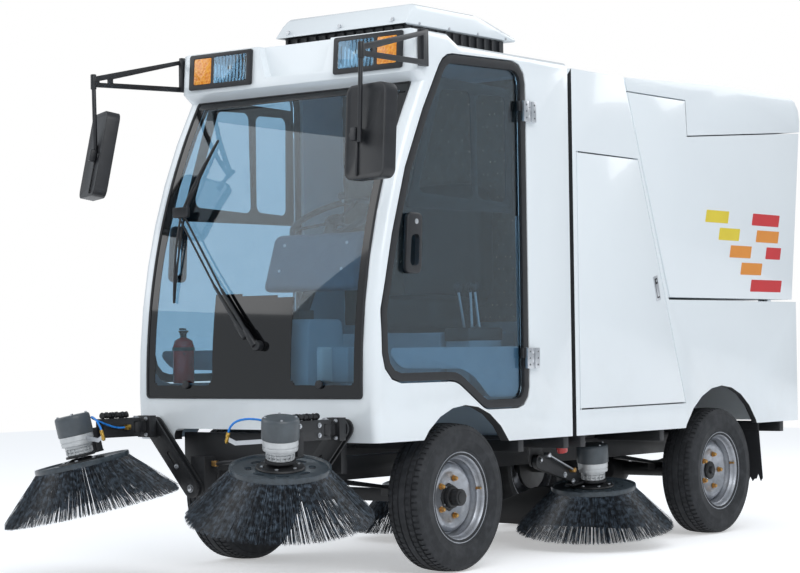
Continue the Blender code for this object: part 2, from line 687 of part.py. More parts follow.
def cab_shell():
    front = screen_arc(SILL_Z + CROSS_WIDTH, SCREEN_Z1, 0.0, SHELL_STEPS)
    outline = [(CAB_REAR, SILL_Z), (CAB_REAR, CAB_ROOF), (ROOF_BEND_Y, CAB_ROOF), (BROW_BACK_Y, BROW_Z1),
               (brow_y(BROW_Z1), BROW_Z1), (BROW_FRONT, BROW_Z0)] + front[::-1]
    outline[-1] = (outline[-1][0], SILL_Z)
    shell = side_plate(outline, -BODY_HALF, BODY_HALF)
    round_sides(shell, CAB_REAR, SILL_Z)
    hollow = [(CAB_REAR - CAB_WALL, SILL_Z - OVERRUN), (CAB_REAR - CAB_WALL, CAB_ROOF - CAB_WALL),
              (HOLLOW_FRONT_Y, CAB_ROOF - CAB_WALL)]
    hollow += screen_arc(SILL_Z, SCREEN_Z1, CAB_WALL, SHELL_STEPS)[::-1]
    hollow[-1] = (hollow[-1][0], SILL_Z - OVERRUN)
    inner = BODY_HALF - CAB_WALL
    cut(shell, side_plate(hollow, -inner, inner))
    band = screen_arc(SCREEN_Z0, SCREEN_Z1, CAB_WALL + OVERRUN, SHELL_STEPS)
    opening = band[::-1] + [(CAB_FRONT - OVERRUN, SCREEN_Z0), (CAB_FRONT - OVERRUN, SCREEN_Z1 - OVERRUN * 5),
                            (screen_y(SCREEN_Z1) - OVERRUN, SCREEN_Z1)]
    cut(shell, side_plate(opening, -SCREEN_HALF, SCREEN_HALF))
    apron = [(CAB_FRONT - OVERRUN, SILL_Z - OVERRUN), (0, SILL_Z - OVERRUN), (0, APRON_Z - OVERRUN),
             (CAB_FRONT - OVERRUN, APRON_Z - OVERRUN)]
    cut(shell, side_plate(apron, -BODY_HALF - OVERRUN, BODY_HALF + OVERRUN))
    recess_floor = BROW_Z0 + RECESS_RISE
    recess = [(RECESS_HALF - RECESS_SLOPE, recess_floor), (RECESS_HALF, BROW_Z1 + OVERRUN),
              (-RECESS_HALF, BROW_Z1 + OVERRUN), (RECESS_SLOPE - RECESS_HALF, recess_floor)]
    cut(shell, front_plate(recess, BROW_FRONT - OVERRUN, BROW_FRONT + RECESS_SLOPE))
    opening = offset(door_outline(), SHUT)
    arch = arc((FRONT_ARCH_BACK, WHEEL_RADIUS), FRONT_ARCH, -20, 200, 16)
    for _, side in SIDES:
        cut(shell, side_plate(opening, side * (inner - OVERRUN), side * (BODY_HALF + OVERRUN)))
        cut(shell, side_plate(arch, side * (inner - OVERRUN), side * (BODY_HALF + OVERRUN)))
    for _, side in SIDES:
        for z in CAB_HINGES:
            add(shell, hinge_leaf(side, z, 1))
    finish(shell, "cab_shell", "white")


HINGE_SHARES = (0.2103, 0.8512)
CAB_HINGES = [SILL_Z + share * (CAB_ROOF - SILL_Z) for share in HINGE_SHARES]
HINGE_HALF = 0.045
LEAF = 0.007
LEAF_REACH = 0.062


def hinge_leaf(side, z, part):
    """Half of a cab door hinge: part 1 on the pillar below, part -1 on the door above."""
    z0 = z - HINGE_HALF if part > 0 else z + SEAT
    z1 = z - SEAT if part > 0 else z + HINGE_HALF
    edge = CAB_HINGE_Y + part * BARREL_RADIUS * 0.9
    if part > 0:
        leaf = side_box(side, BODY_HALF - LEAF, BODY_HALF + LEAF, edge - BARREL_RADIUS / 2,
                        CAB_HINGE_Y + LEAF_REACH, z0, z1)
    else:
        leaf = side_box(side, BODY_HALF - LEAF, BODY_HALF + LEAF, CAB_HINGE_Y - LEAF_REACH,
                        edge + BARREL_RADIUS / 2, z0, z1)
    bridge = side_box(side, BODY_HALF + LEAF / 2, CAB_HINGE_X, min(edge, CAB_HINGE_Y),
                      max(edge, CAB_HINGE_Y), z0, z1)
    add(leaf, bridge)
    add(leaf, rod((side * CAB_HINGE_X, CAB_HINGE_Y, z0), (side * CAB_HINGE_X, CAB_HINGE_Y, z1),
                  BARREL_RADIUS, 8))
    return leaf


def cab_door(label, side):
    outline = door_outline()
    outer = BODY_HALF
    ring = side_plate(outline, side * (outer - DOOR_THICK), side * outer)
    light = offset(outline, -SEAL_WIDTH)
    cut(ring, side_plate(light, side * (outer - DOOR_THICK - OVERRUN), side * (outer + OVERRUN)))
    for z in CAB_HINGES:
        add(ring, hinge_leaf(side, z, -1))
    pivot("cab_door_" + label, (side * CAB_HINGE_X, CAB_HINGE_Y, 0))
    finish(ring, "cab_door_frame_" + label, "black", "cab_door_" + label)
    pane = side_plate(offset(light, -SEAT), side * (outer - DOOR_THICK / 2 - GLASS),
                      side * (outer - DOOR_THICK / 2))
    finish(pane, "cab_door_glass_" + label, "glass", "cab_door_" + label)


def windscreen():
    low = SCREEN_Z0 + SEAT
    high = SCREEN_Z1 - SEAT
    outline = screen_arc(low, high, 0.0, SCREEN_STEPS) + screen_arc(low, high, GLASS, SCREEN_STEPS)[::-1]
    half = SCREEN_HALF - SEAT
    finish(side_plate(outline[::-1], -half, half), "windscreen", "glass")


# Floor with the console under the wheel and the box under the seat
CONSOLE_X = (0.0, 0.260)
CONSOLE_FRONT = 0.015
CONSOLE_FOOT_Y = -0.260
CONSOLE_TAPER = 0.040
CONSOLE_ROUND = 0.030
CONSOLE_RISE = 0.368
CONSOLE_Z = FLOOR_Z + CONSOLE_RISE
SEAT_BOX_X = (-0.240, 0.400)
SEAT_BOX_Y = 0.200
SEAT_BOX_BACK = 0.020
SEAT_BOX_RISE = 0.308
SEAT_BOX_Z = FLOOR_Z + SEAT_BOX_RISE


def cab_floor():
    inner = BODY_HALF - CAB_WALL - SEAT
    front = screen_y(FLOOR_Z, CAB_WALL) + SEAT * 2
    back = CAB_REAR - CAB_WALL - SEAT
    floor = box(-inner, inner, front, back, FLOOR_Z, FLOOR_Z + FLOOR_THICK)
    foot = FLOOR_Z + FLOOR_THICK / 2
    start = front + CONSOLE_FRONT
    console = rounded([(start, foot, 0), (CONSOLE_FOOT_Y, foot, 0),
                       (CONSOLE_FOOT_Y - CONSOLE_TAPER, CONSOLE_Z, CONSOLE_ROUND),
                       (start + CONSOLE_TAPER / 2, CONSOLE_Z, CONSOLE_ROUND)])
    add(floor, side_plate(console, *CONSOLE_X))
    add(floor, box(*SEAT_BOX_X, SEAT_BOX_Y, back - SEAT_BOX_BACK, foot, SEAT_BOX_Z))
    finish(floor, "cab_floor", "trim")


# Steering: the wheel's centre stands above the console, square to the leaning column
WHEEL_RISE = 0.440
STEER_WHEEL = (0.090, -0.140, CONSOLE_Z + WHEEL_RISE)
STEER_WHEEL_RADIUS = 0.190
STEER_RIM_RADIUS = 0.013
SPOKE_RADIUS = 0.009
HUB = (0.032, 0.012)
COLUMN_TILT = math.radians(28.0)
COLUMN_RADIUS = 0.026
COLUMN_TOP = 0.035
COLUMN_FOOT = 0.020
COLUMN_BASE = (0.040, 0.050, 0.040)
COLUMN_SINK = 0.010


def steering():
    centre = Vector(STEER_WHEEL)
    axis = Vector((0, math.sin(COLUMN_TILT), math.cos(COLUMN_TILT)))
    foot = centre - axis * (WHEEL_RISE + COLUMN_SINK) / axis.z
    half_x, half_y, high = COLUMN_BASE
    base = box(foot.x - half_x, foot.x + half_x, foot.y - half_y, foot.y + half_y,
               CONSOLE_Z + SEAT, CONSOLE_Z + high)
    add(base, rod(foot + axis * (COLUMN_SINK + COLUMN_FOOT), centre - axis * COLUMN_TOP, COLUMN_RADIUS, 16))
    finish(base, "steering_column", "black")
    bpy.ops.mesh.primitive_torus_add(major_segments=24, minor_segments=6,
                                     major_radius=STEER_WHEEL_RADIUS, minor_radius=STEER_RIM_RADIUS)
    rim = bpy.context.object
    bpy.context.collection.objects.unlink(rim)
    TOOLS.objects.link(rim)
    rim.display_type = "WIRE"
    rim.hide_render = True
    rim.location = centre
    rim.rotation_euler = (-COLUMN_TILT, 0, 0)
    hub_radius, hub_top = HUB
    hub = rod(centre - axis * (COLUMN_TOP - SEAT), centre + axis * hub_top, hub_radius, 12)
    across = Vector((1, 0, 0))
    for turn in (0, 120, 240):
        spoke = Matrix.Rotation(math.radians(turn + 90), 3, axis) @ across
        add(hub, rod(centre, centre + spoke * STEER_WHEEL_RADIUS, SPOKE_RADIUS, 6))
    add(hub, rim)
    pivot("steering_wheel_joint", centre)
    finish(hub, "steering_wheel", "black", "steering_wheel_joint")


# Seat on its box: shares of its depth and height, and of the height for the rounding
SEAT_X = (-0.160, 0.340)
SEAT_DEPTH = 0.580
SEAT_HEIGHT = 0.700
SEAT_SHARES = ((0.069, 0.0, 0), (0.793, 0.0, 0), (1.0, 1.0, 0.071), (0.845, 1.0, 0.057),
               (0.690, 0.257, 0.071), (0.0, 0.214, 0.071))


def seat():
    base_z = SEAT_BOX_Z + SEAT
    cushion = rounded([(SEAT_BOX_Y + u * SEAT_DEPTH, base_z + v * SEAT_HEIGHT, turn * SEAT_HEIGHT)
                       for u, v, turn in SEAT_SHARES])
    finish(side_plate(cushion, *SEAT_X), "seat", "black")


# Roof unit: louvred body under a cover whose side outline is in shares of its length and rise
LOUVRE_HALF = 0.350
LOUVRE_Y = (0.060, 0.800)
LOUVRE_RISE = 0.130
COVER_HALF = 0.375
COVER_Y = 0.020
COVER_LENGTH = 0.840
COVER_FOOT = 0.122
COVER_RISE = 0.096
COVER_SHARES = ((0.0, 0.0, 0), (1.0, 0.0, 0), (1.0, 0.135, 0), (0.643, 1.0, 0.313), (0.083, 1.0, 0.417))
COVER_BEVEL = 0.030


def roof_aircon():
    louvre = box(-LOUVRE_HALF, LOUVRE_HALF, *LOUVRE_Y, CAB_ROOF + SEAT, CAB_ROOF + LOUVRE_RISE)
    cover_z = CAB_ROOF + COVER_FOOT
    cover = rounded([(COVER_Y + u * COVER_LENGTH, cover_z + v * COVER_RISE, turn * COVER_RISE)
                     for u, v, turn in COVER_SHARES])
    lid = side_plate(cover, -COVER_HALF, COVER_HALF)
    bm = bmesh.new()
    bm.from_mesh(lid.data)
    edges = [e for e in bm.edges if abs(e.verts[0].co.x - e.verts[1].co.x) < WELD
             and min(e.verts[0].co.z, e.verts[1].co.z) > cover_z + COVER_RISE * 0.6]
    bmesh.ops.bevel(bm, geom=edges, offset=COVER_BEVEL, segments=2, profile=0.5, affect="EDGES")
    bm.to_mesh(lid.data)
    bm.free()
    add(louvre, lid)
    finish(louvre, "roof_aircon", "white")


# Lamps in shares of the brow's height, and mirrors on brackets beside them
LAMP_DEPTH = 0.012
LAMP_X = (0.234, 0.606)
LAMP_SHARES = (0.088, 0.967)
LAMP_Z = [BROW_Z0 + share * (BROW_Z1 - BROW_Z0) for share in LAMP_SHARES]
BRACKET_THICK = 0.022
BRACKET_HALF = 0.025
BRACKET_BACK = 0.040
BRACKET_RISE = 0.004
MIRROR_REACH = 0.515
MIRROR_SPLAY = 0.062
BAR_THICK = 0.014
BAR_SHARES = ((0.0, 0.045, 0), (1.0, -0.064, 0.064), (1.0, 0.205, 0.064), (0.0, 0.949, 0))
BAR_WINDOW_SHARES = ((0.077, 0.192, 0.051), (0.769, 0.141, 0.051), (0.769, 0.269, 0.051),
                     (0.077, 0.769, 0.051))
ROD_RADIUS = 0.010
ROD_LENGTH = 0.465
ROD_BACK = 0.045
HEAD_SIZE = (0.250, 0.064, 0.380)
HEAD_PLACE = (0.013, -0.007, -0.345)
HEAD_ROUND = 0.022
HEAD_TURN = math.radians(12.0)


def lamp(label, side):
    low, high = LAMP_Z
    outline = [(brow_y(low) - SEAT, low), (brow_y(high) - SEAT, high),
               (brow_y(high) - SEAT - LAMP_DEPTH, high), (brow_y(low) - SEAT - LAMP_DEPTH, low)]
    body = side_plate(outline, side * LAMP_X[0], side * LAMP_X[1])
    finish(body, "lamp_" + label, "lamp")


def mirror(label, side):
    low, high = LAMP_Z
    low += BRACKET_RISE
    bracket_y = BROW_FRONT + BRACKET_BACK
    base = side_box(side, BODY_HALF + SEAT, BODY_HALF + BRACKET_THICK, bracket_y - BRACKET_HALF,
                    bracket_y + BRACKET_HALF, low, high)
    root = Vector((side * (BODY_HALF + BRACKET_THICK - BAR_THICK / 7), bracket_y + BRACKET_HALF * 0.4, 0))
    tip = root + Vector((side * MIRROR_SPLAY, -MIRROR_REACH, 0))
    along = tip - root
    matrix = Matrix.Translation(root) @ Matrix.Rotation(math.atan2(along.y, along.x), 4, "Z") @ ALONG_Y

    def spread(shares):
        return [(u * along.length, low + v * (high - low), turn * (high - low)) for u, v, turn in shares]

    bar = slab(rounded(spread(BAR_SHARES)), BAR_THICK, matrix)
    cut(bar, slab(rounded(spread(BAR_WINDOW_SHARES), 2), BAR_THICK * 3, matrix))
    add(base, bar)
    rod_top = low + BAR_SHARES[2][1] * (high - low)
    add(base, rod((tip.x, tip.y, rod_top), (tip.x, tip.y + ROD_BACK, rod_top - ROD_LENGTH), ROD_RADIUS, 12))
    head = box(-HEAD_SIZE[0] / 2, HEAD_SIZE[0] / 2, -HEAD_SIZE[1] / 2, HEAD_SIZE[1] / 2,
               -HEAD_SIZE[2] / 2, HEAD_SIZE[2] / 2)
    bevel = head.modifiers.new("Round", "BEVEL")
    bevel.width = HEAD_ROUND
    bevel.segments = 2
    out, back, up = HEAD_PLACE
    head.location = (tip.x + side * out, tip.y + back, rod_top + up)
    head.rotation_euler = (0, 0, -side * HEAD_TURN)
    add(base, head)
    finish(base, "mirror_" + label, "black")


# Wiper: boss on the glass, twin arms to a carrier, blade along the glass; shares of half width and height
BOSS_RADIUS = 0.024
BOSS_LENGTH = 0.046
ARM_RADIUS = 0.007
ARM_SPREAD = 0.015
BLADE_RADIUS = 0.010
BLADE_CLEAR = 0.002
ARM_CLEAR = 0.040
BOSS_SHARES = (0.087, 0.167)
CARRIER_SHARES = (-0.792, 0.619)
BLADE_SHARES = ((-0.642, 0.859), (-0.710, 0.750), (-0.754, 0.680), (-0.792, 0.619), (-0.780, 0.500),
                (-0.769, 0.400), (-0.760, 0.310))


def on_screen(u, v, clear):
    """A place that far in front of the windscreen, from shares of its half width and its height."""
    z = SCREEN_Z0 + v * (SCREEN_Z1 - SCREEN_Z0)
    return Vector((u * SCREEN_HALF, screen_y(z) - clear, z))


def wiper():
    top = on_screen(*BOSS_SHARES, BOSS_LENGTH)
    seat_y = facet_y(top.z - BOSS_RADIUS) - SEAT
    boss = rod(top, (top.x, seat_y, top.z), BOSS_RADIUS, 16)
    carrier = on_screen(*CARRIER_SHARES, ARM_CLEAR)
    shoulder = top + Vector((0, ARM_RADIUS, 0))
    for way in (-1, 1):
        shift = Vector((way * ARM_SPREAD, 0, way * ARM_SPREAD))
        add(boss, rod(shoulder + shift, carrier + shift / 2, ARM_RADIUS, 8))
    blade_clip = on_screen(*CARRIER_SHARES, BLADE_RADIUS)
    add(boss, rod(carrier - Vector((0, ARM_RADIUS, 0)), blade_clip, ARM_SPREAD, 8))
    places = [on_screen(u, v, BLADE_RADIUS + BLADE_CLEAR) for u, v in BLADE_SHARES]
    for start, end in zip(places, places[1:]):
        add(boss, rod(start, end, BLADE_RADIUS, 8))
    finish(boss, "wiper", "black")


# Engine, kept as one plain block on the rails
ENGINE_BEHIND = 0.102
ENGINE_AHEAD = 0.618
ENGINE_RISE = 0.550


def engine():
    top = RAIL_Z + RAIL_HEIGHT
    half = RAIL_X + RAIL_WIDTH / 2
    finish(box(-half, half, BODY_FRONT + ENGINE_BEHIND, WHEELBASE - ENGINE_AHEAD, top + SEAT,
               top + ENGINE_RISE), "engine_block", "frame")


def body_outline():
    return [(BODY_FRONT, SILL_Z), (BODY_REAR, SILL_Z), (BODY_REAR, DECK_Z),
            (BULKHEAD_FOOT_Y, DECK_Z), (BULKHEAD_TOP_Y, BODY_ROOF), (BODY_FRONT, BODY_ROOF)]


# Side door: its rear edge leans like the bulkhead; heights are shares from sill to roof
DOOR_MARGIN = 0.039
DOOR_TOP_MARGIN = 0.119
DOOR_FOOT_AHEAD = 0.361
SIDE_DOOR_SHARES = (0.0737, 0.0761, 0.7695, 0.7718)
SIDE_DOOR_Y = (BODY_FRONT + DOOR_MARGIN, WHEELBASE - DOOR_FOOT_AHEAD, BULKHEAD_TOP_Y + DOOR_TOP_MARGIN,
               BODY_FRONT + DOOR_MARGIN)
SIDE_DOOR = [(y, SILL_Z + share * (BODY_ROOF - SILL_Z)) for y, share in zip(SIDE_DOOR_Y, SIDE_DOOR_SHARES)]
HINGE_PIN_INSET = 0.0035
HINGE_PIN_BEHIND = 0.006
SIDE_HINGE_X = BODY_HALF - HINGE_PIN_INSET
SIDE_HINGE_Y = SIDE_DOOR_Y[0] + HINGE_PIN_BEHIND
HINGE_PIN = 0.003
HINGE_PIN_LENGTH = 0.016


def rear_body():
    outline = body_outline()
    shell = side_plate(outline, -BODY_HALF, BODY_HALF)
    inset = offset(outline, -BODY_WALL)
    hollow = [(u, v if v > SILL_Z + BODY_WALL * 2 else SILL_Z - OVERRUN) for u, v in inset]
    inner = BODY_HALF - BODY_WALL
    cut(shell, side_plate(hollow, -inner, inner))
    gap = offset(list(SIDE_DOOR), SHUT)
    arch = arc((WHEELBASE, WHEEL_RADIUS), REAR_ARCH, -20, 200, 16)
    for _, side in SIDES:
        cut(shell, side_plate(gap, side * (inner - OVERRUN), side * (BODY_HALF + OVERRUN)))
        cut(shell, side_plate(arch, side * (inner - OVERRUN), side * (BODY_HALF + OVERRUN)))
        for z, way in ((SIDE_DOOR[0][1], -1), (SIDE_DOOR[3][1], 1)):
            cut(shell, rod((side * SIDE_HINGE_X, SIDE_HINGE_Y, z),
                           (side * SIDE_HINGE_X, SIDE_HINGE_Y, z + way * (HINGE_PIN_LENGTH + COLLAR)),
                           HINGE_PIN + PIN_PLAY, 8))
    cut(shell, rod((0, DUCT_Y, DECK_Z - BODY_WALL - OVERRUN), (0, DUCT_Y, DECK_Z + OVERRUN), DUCT_RADIUS, 16))
    for _, side in SIDES:
        for lug_x in (TIP_LUG_X - TIP_LUG - COLLAR, TIP_LUG_X + TIP_LUG + COLLAR):
            add(shell, tip_lug(side, lug_x))
        add(shell, rod((side * (TIP_LUG_X - TIP_LUG - COLLAR), TIP_PIN_Y, TIP_PIN_Z),
                       (side * (TIP_LUG_X + TIP_LUG + COLLAR), TIP_PIN_Y, TIP_PIN_Z), TIP_PIN_RADIUS))
    finish(shell, "rear_body", "white")


TIP_LUG_X = 0.500
TIP_LUG = 0.014
TIP_LUG_RADIUS = 0.022


def tip_lug(side, x):
    half = TIP_LUG / 2
    points = [(TIP_PIN_Y - TIP_LUG_RADIUS, DECK_Z - BODY_WALL / 2),
              (TIP_PIN_Y + TIP_LUG_RADIUS, DECK_Z - BODY_WALL / 2)]
    points += arc((TIP_PIN_Y, TIP_PIN_Z), TIP_LUG_RADIUS, 0, 180, 8)
    return side_plate(points, side * (x - half), side * (x + half))


def side_door(label, side):
    inner = BODY_HALF - BODY_WALL
    panel = side_plate(list(SIDE_DOOR), side * inner, side * BODY_HALF)
    for z, way in ((SIDE_DOOR[0][1], -1), (SIDE_DOOR[3][1], 1)):
        add(panel, rod((side * SIDE_HINGE_X, SIDE_HINGE_Y, z - way * HINGE_PIN_LENGTH),
                       (side * SIDE_HINGE_X, SIDE_HINGE_Y, z + way * (HINGE_PIN_LENGTH)), HINGE_PIN, 8))
    pivot("side_door_hinge_" + label, (side * SIDE_HINGE_X, SIDE_HINGE_Y, 0))
    finish(panel, "side_door_" + label, "white", "side_door_hinge_" + label)


LID_PIN_BEHIND = 0.030
LID_PIN_BELOW = 0.014
LID_PIN_Y = BULKHEAD_TOP_Y + LID_PIN_BEHIND
LID_PIN_Z = BODY_ROOF - LID_PIN_BELOW
LID_PIN_RADIUS = 0.006
LID_LUG_X = 0.450
LID_LUG = 0.030


def bulkhead_y(z):
    share = (z - DECK_Z) / (BODY_ROOF - DECK_Z)
    return BULKHEAD_FOOT_Y + (BULKHEAD_TOP_Y - BULKHEAD_FOOT_Y) * share


def hopper():
    foot = DECK_Z + HOPPER_GAP
    outline = [(bulkhead_y(foot) + FRONT_GAP, foot), (HOPPER_REAR_FOOT, foot),
               (HOPPER_REAR_TOP, LID_REAR_Z - SHUT), (LID_STEP_Y + SHUT, LID_STEP_Z - SHUT),
               (LID_STEP_Y - SHUT, LID_Z - SHUT), (bulkhead_y(LID_Z) + FRONT_GAP, LID_Z - SHUT)]
    tub = side_plate(outline, -BODY_HALF, BODY_HALF)
    inset = offset(outline, -HOPPER_WALL)
    hollow = [inset[0], inset[1], (inset[2][0], LID_ROOF), (inset[5][0], LID_ROOF)]
    inner = BODY_HALF - HOPPER_WALL
    cut(tub, side_plate(hollow, -inner, inner))
    cut(tub, rod((0, DUCT_Y, foot - OVERRUN), (0, DUCT_Y, foot + HOPPER_WALL + OVERRUN), DUCT_RADIUS, 16))
    for _, side in SIDES:
        eye = [(TIP_PIN_Y - TIP_LUG_RADIUS * 2, TIP_PIN_Z + TIP_LUG_RADIUS * 1.5),
               (TIP_PIN_Y - TIP_LUG_RADIUS * 2, foot + COLLAR)]
        eye += arc((TIP_PIN_Y, TIP_PIN_Z), TIP_LUG_RADIUS * 0.9, 220, 450, 10)
        add(tub, side_plate(eye, side * (TIP_LUG_X - TIP_LUG / 2), side * (TIP_LUG_X + TIP_LUG / 2)))
        notch_half = TIP_LUG + TIP_LUG / 2 + COLLAR * 2
        for lug_x in (TIP_LUG_X - TIP_LUG - COLLAR, TIP_LUG_X + TIP_LUG + COLLAR):
            half = TIP_LUG / 2 + COLLAR * 0.9
            notch_top = TIP_PIN_Z + TIP_LUG_RADIUS * 1.5
            cut(tub, side_box(side, lug_x - half, lug_x + half, TIP_PIN_Y - TIP_LUG_RADIUS * 1.8,
                              TIP_PIN_Y + TIP_LUG_RADIUS * 2, foot - OVERRUN, notch_top))
        cut(tub, rod((side * (TIP_LUG_X - notch_half - TIP_LUG), TIP_PIN_Y, TIP_PIN_Z),
                     (side * (TIP_LUG_X + notch_half + TIP_LUG), TIP_PIN_Y, TIP_PIN_Z),
                     TIP_PIN_RADIUS + PIN_PLAY))
        low = LID_Z - SHUT * 2
        high = LID_PIN_Z + LID_PIN_RADIUS * 1.4
        lug = [(bulkhead_y(low) + FRONT_GAP, low), (bulkhead_y(low) + FRONT_GAP + LID_LUG, low),
               (LID_PIN_Y + LID_PIN_RADIUS * 1.6, high), (bulkhead_y(high) + FRONT_GAP, high)]
        add(tub, side_plate(lug, side * (LID_LUG_X - LID_LUG / 2), side * (LID_LUG_X + LID_LUG / 2)))
        add(tub, rod((side * (LID_LUG_X - LID_LUG), LID_PIN_Y, LID_PIN_Z),
                     (side * (LID_LUG_X + LID_LUG), LID_PIN_Y, LID_PIN_Z), LID_PIN_RADIUS, 12))
    pivot("hopper_tip", (0, TIP_PIN_Y, TIP_PIN_Z))
    finish(tub, "hopper", "white", "hopper_tip")


def hopper_lid():
    front = bulkhead_y(BODY_ROOF) + FRONT_GAP
    rear = HOPPER_REAR_TOP + SHUT
    crest = WHEELBASE + LID_CREST_BEHIND
    rear_roof = LID_ROOF - LID_FALL
    outline = rounded([(bulkhead_y(LID_Z) + FRONT_GAP, LID_Z, 0), (LID_STEP_Y, LID_Z, 0),
                       (LID_STEP_Y + SHUT * 2, LID_STEP_Z, 0), (rear, LID_REAR_Z, 0),
                       (rear + SHUT, rear_roof, LID_ROUND), (crest, LID_ROOF, 0),
                       (front, BODY_ROOF, SHUT)])
    cover = side_plate(outline, -BODY_HALF, BODY_HALF)
    inner = BODY_HALF - HOPPER_WALL
    hollow = rounded([(front + HOPPER_WALL * 1.5, LID_STEP_Z - OVERRUN, 0),
                      (rear - HOPPER_WALL, LID_STEP_Z - OVERRUN, 0),
                      (rear - HOPPER_WALL, rear_roof - HOPPER_WALL, LID_ROUND * 0.73),
                      (crest, LID_ROOF - HOPPER_WALL, 0), (front + HOPPER_WALL, BODY_ROOF - HOPPER_WALL, 0)])
    cut(cover, side_plate(hollow, -inner, inner))
    for _, side in SIDES:
        half = LID_LUG / 2 + COLLAR
        cut(cover, side_box(side, LID_LUG_X - half, LID_LUG_X + half, front - OVERRUN,
                            front + HOPPER_WALL + OVERRUN, LID_Z - OVERRUN, BODY_ROOF + OVERRUN))
        reach = LID_LUG + COLLAR
        cut(cover, rod((side * (LID_LUG_X - reach), LID_PIN_Y, LID_PIN_Z),
                       (side * (LID_LUG_X + reach), LID_PIN_Y, LID_PIN_Z), LID_PIN_RADIUS + PIN_PLAY, 12))
    pivot("hopper_lid_joint", (0, LID_PIN_Y, LID_PIN_Z), "hopper_tip")
    finish(cover, "hopper_lid", "white", "hopper_lid_joint")


# Suction nozzle between the rails behind the middle brushes, with its duct up into the hopper
DUCT_AHEAD = 0.358
DUCT_Y = WHEELBASE - DUCT_AHEAD
DUCT_RADIUS = 0.085
DUCT_WALL = 0.006
NOZZLE_HALF = 0.400
NOZZLE_AHEAD = 0.160
NOZZLE_BEHIND = 0.040
NOZZLE_Z = 0.050
NOZZLE_HEIGHT = 0.190
HOOD_SHARES = ((-1.0, 0.0, 0), (1.0, 0.0, 0), (1.0, 0.474, 0.053), (0.325, 1.0, 0), (-0.325, 1.0, 0),
               (-1.0, 0.474, 0.053))
DUCT_FOOT_SHARE = 0.684


def suction_nozzle():
    z0 = NOZZLE_Z
    z1 = NOZZLE_Z + NOZZLE_HEIGHT * DUCT_FOOT_SHARE
    y0 = DUCT_Y - NOZZLE_AHEAD
    y1 = DUCT_Y + NOZZLE_BEHIND
    hood = rounded([(u * NOZZLE_HALF, z0 + v * NOZZLE_HEIGHT, turn * NOZZLE_HEIGHT)
                    for u, v, turn in HOOD_SHARES])
    shell = front_plate(hood, y0, y1)
    inside = offset(hood, -DUCT_WALL)
    inside = [(u, v if v > z0 + DUCT_WALL * 3 else z0 - OVERRUN) for u, v in inside]
    cut(shell, front_plate(inside, y0 + DUCT_WALL, y1 - DUCT_WALL))
    duct_r = DUCT_RADIUS - SEAT
    duct = rod((0, DUCT_Y, z1), (0, DUCT_Y, DECK_Z - SEAT), duct_r, 16)
    add(shell, duct)
    cut(shell, rod((0, DUCT_Y, z1 - OVERRUN), (0, DUCT_Y, DECK_Z + OVERRUN), duct_r - DUCT_WALL, 16))
    finish(shell, "suction_nozzle", "rubber")


FLAP_BEHIND = 0.372
FLAP_SLANT = 0.042
FLAP_THICK = 0.008
FLAP_LENGTH = 0.308
FLAP_WIDTH = 0.180


def mud_flap(label, side):
    top = SILL_Z - SEAT
    foot = SILL_Z - FLAP_LENGTH
    y = WHEELBASE + FLAP_BEHIND
    outline = [(y, top), (y + FLAP_SLANT, foot), (y + FLAP_SLANT + FLAP_THICK, foot), (y + FLAP_THICK, top)]
    flap = side_plate(outline, side * (BODY_HALF - FLAP_WIDTH), side * (BODY_HALF - SEAT))
    finish(flap, "mud_flap_" + label, "rubber")


# Brushes: a disc with six windows, a hub, a drive shaft and two rows of tufts, in their own frame
HUB_RADIUS = 0.045
HUB_HEIGHT = 0.012
SHAFT_RADIUS = 0.0145
SHAFT_TOP = 0.0357
PLATE_Z = (0.026, 0.0357)
PLATE_RADIUS = 0.062
MOTOR_Z = 0.036
GEARBOX_RADIUS = 0.052
GEARBOX_HEIGHT = 0.068
CAP_RADIUS = 0.075
CAP_HEIGHT = 0.100


def brush_matrix(place, tilt, lean, side):
    """Frame of a brush: its axis leans by tilt towards the lean direction, mirrored by side."""
    x, y, z = place
    toward = Vector((side * math.cos(lean), math.sin(lean), 0))
    axle = Vector((0, 0, 1)).cross(toward)
    return Matrix.Translation((side * x, y, z)) @ Matrix.Rotation(tilt, 4, axle)


def brush(name, matrix, carrier):
    disc = rod((0, 0, -DISC_HALF), (0, 0, DISC_HALF), DISC_RADIUS, 24)
    holes = []
    for i in range(6):
        angle = math.radians(60 * i)
        middle = Vector((math.cos(angle), math.sin(angle), 0)) * DISC_RADIUS * 0.56
        hole = rod(middle - Vector((0, 0, OVERRUN)), middle + Vector((0, 0, OVERRUN)), DISC_RADIUS * 0.14, 8)
        holes.append(hole)
    cut(disc, *holes)
    add(disc, rod((0, 0, 0), (0, 0, DISC_HALF + HUB_HEIGHT), HUB_RADIUS, 12))
    add(disc, rod((0, 0, 0), (0, 0, SHAFT_TOP), SHAFT_RADIUS, 8))
    bm = bmesh.new()
    for i in range(TUFTS):
        angle = 2 * math.pi * i / TUFTS
        out = Vector((math.cos(angle), math.sin(angle), 0))
        start = out * (DISC_RADIUS - TUFT_TOP_RADIUS * 2)
        end = out * (SKIRT_RADIUS - TUFT_TIP_RADIUS) - Vector((0, 0, SKIRT_HEIGHT))
        run = end - start
        turn = run.to_track_quat("Z", "Y").to_matrix().to_4x4()
        place = Matrix.Translation(start + run / 2) @ turn
        bmesh.ops.create_cone(bm, cap_ends=True, segments=5, radius1=TUFT_TOP_RADIUS,
                              radius2=TUFT_TIP_RADIUS, depth=run.length, matrix=place)
    tufts = from_bmesh(bm)
    add(disc, tufts)
    apply_frame([disc], matrix)
    finish(disc, name, "bristle", carrier)


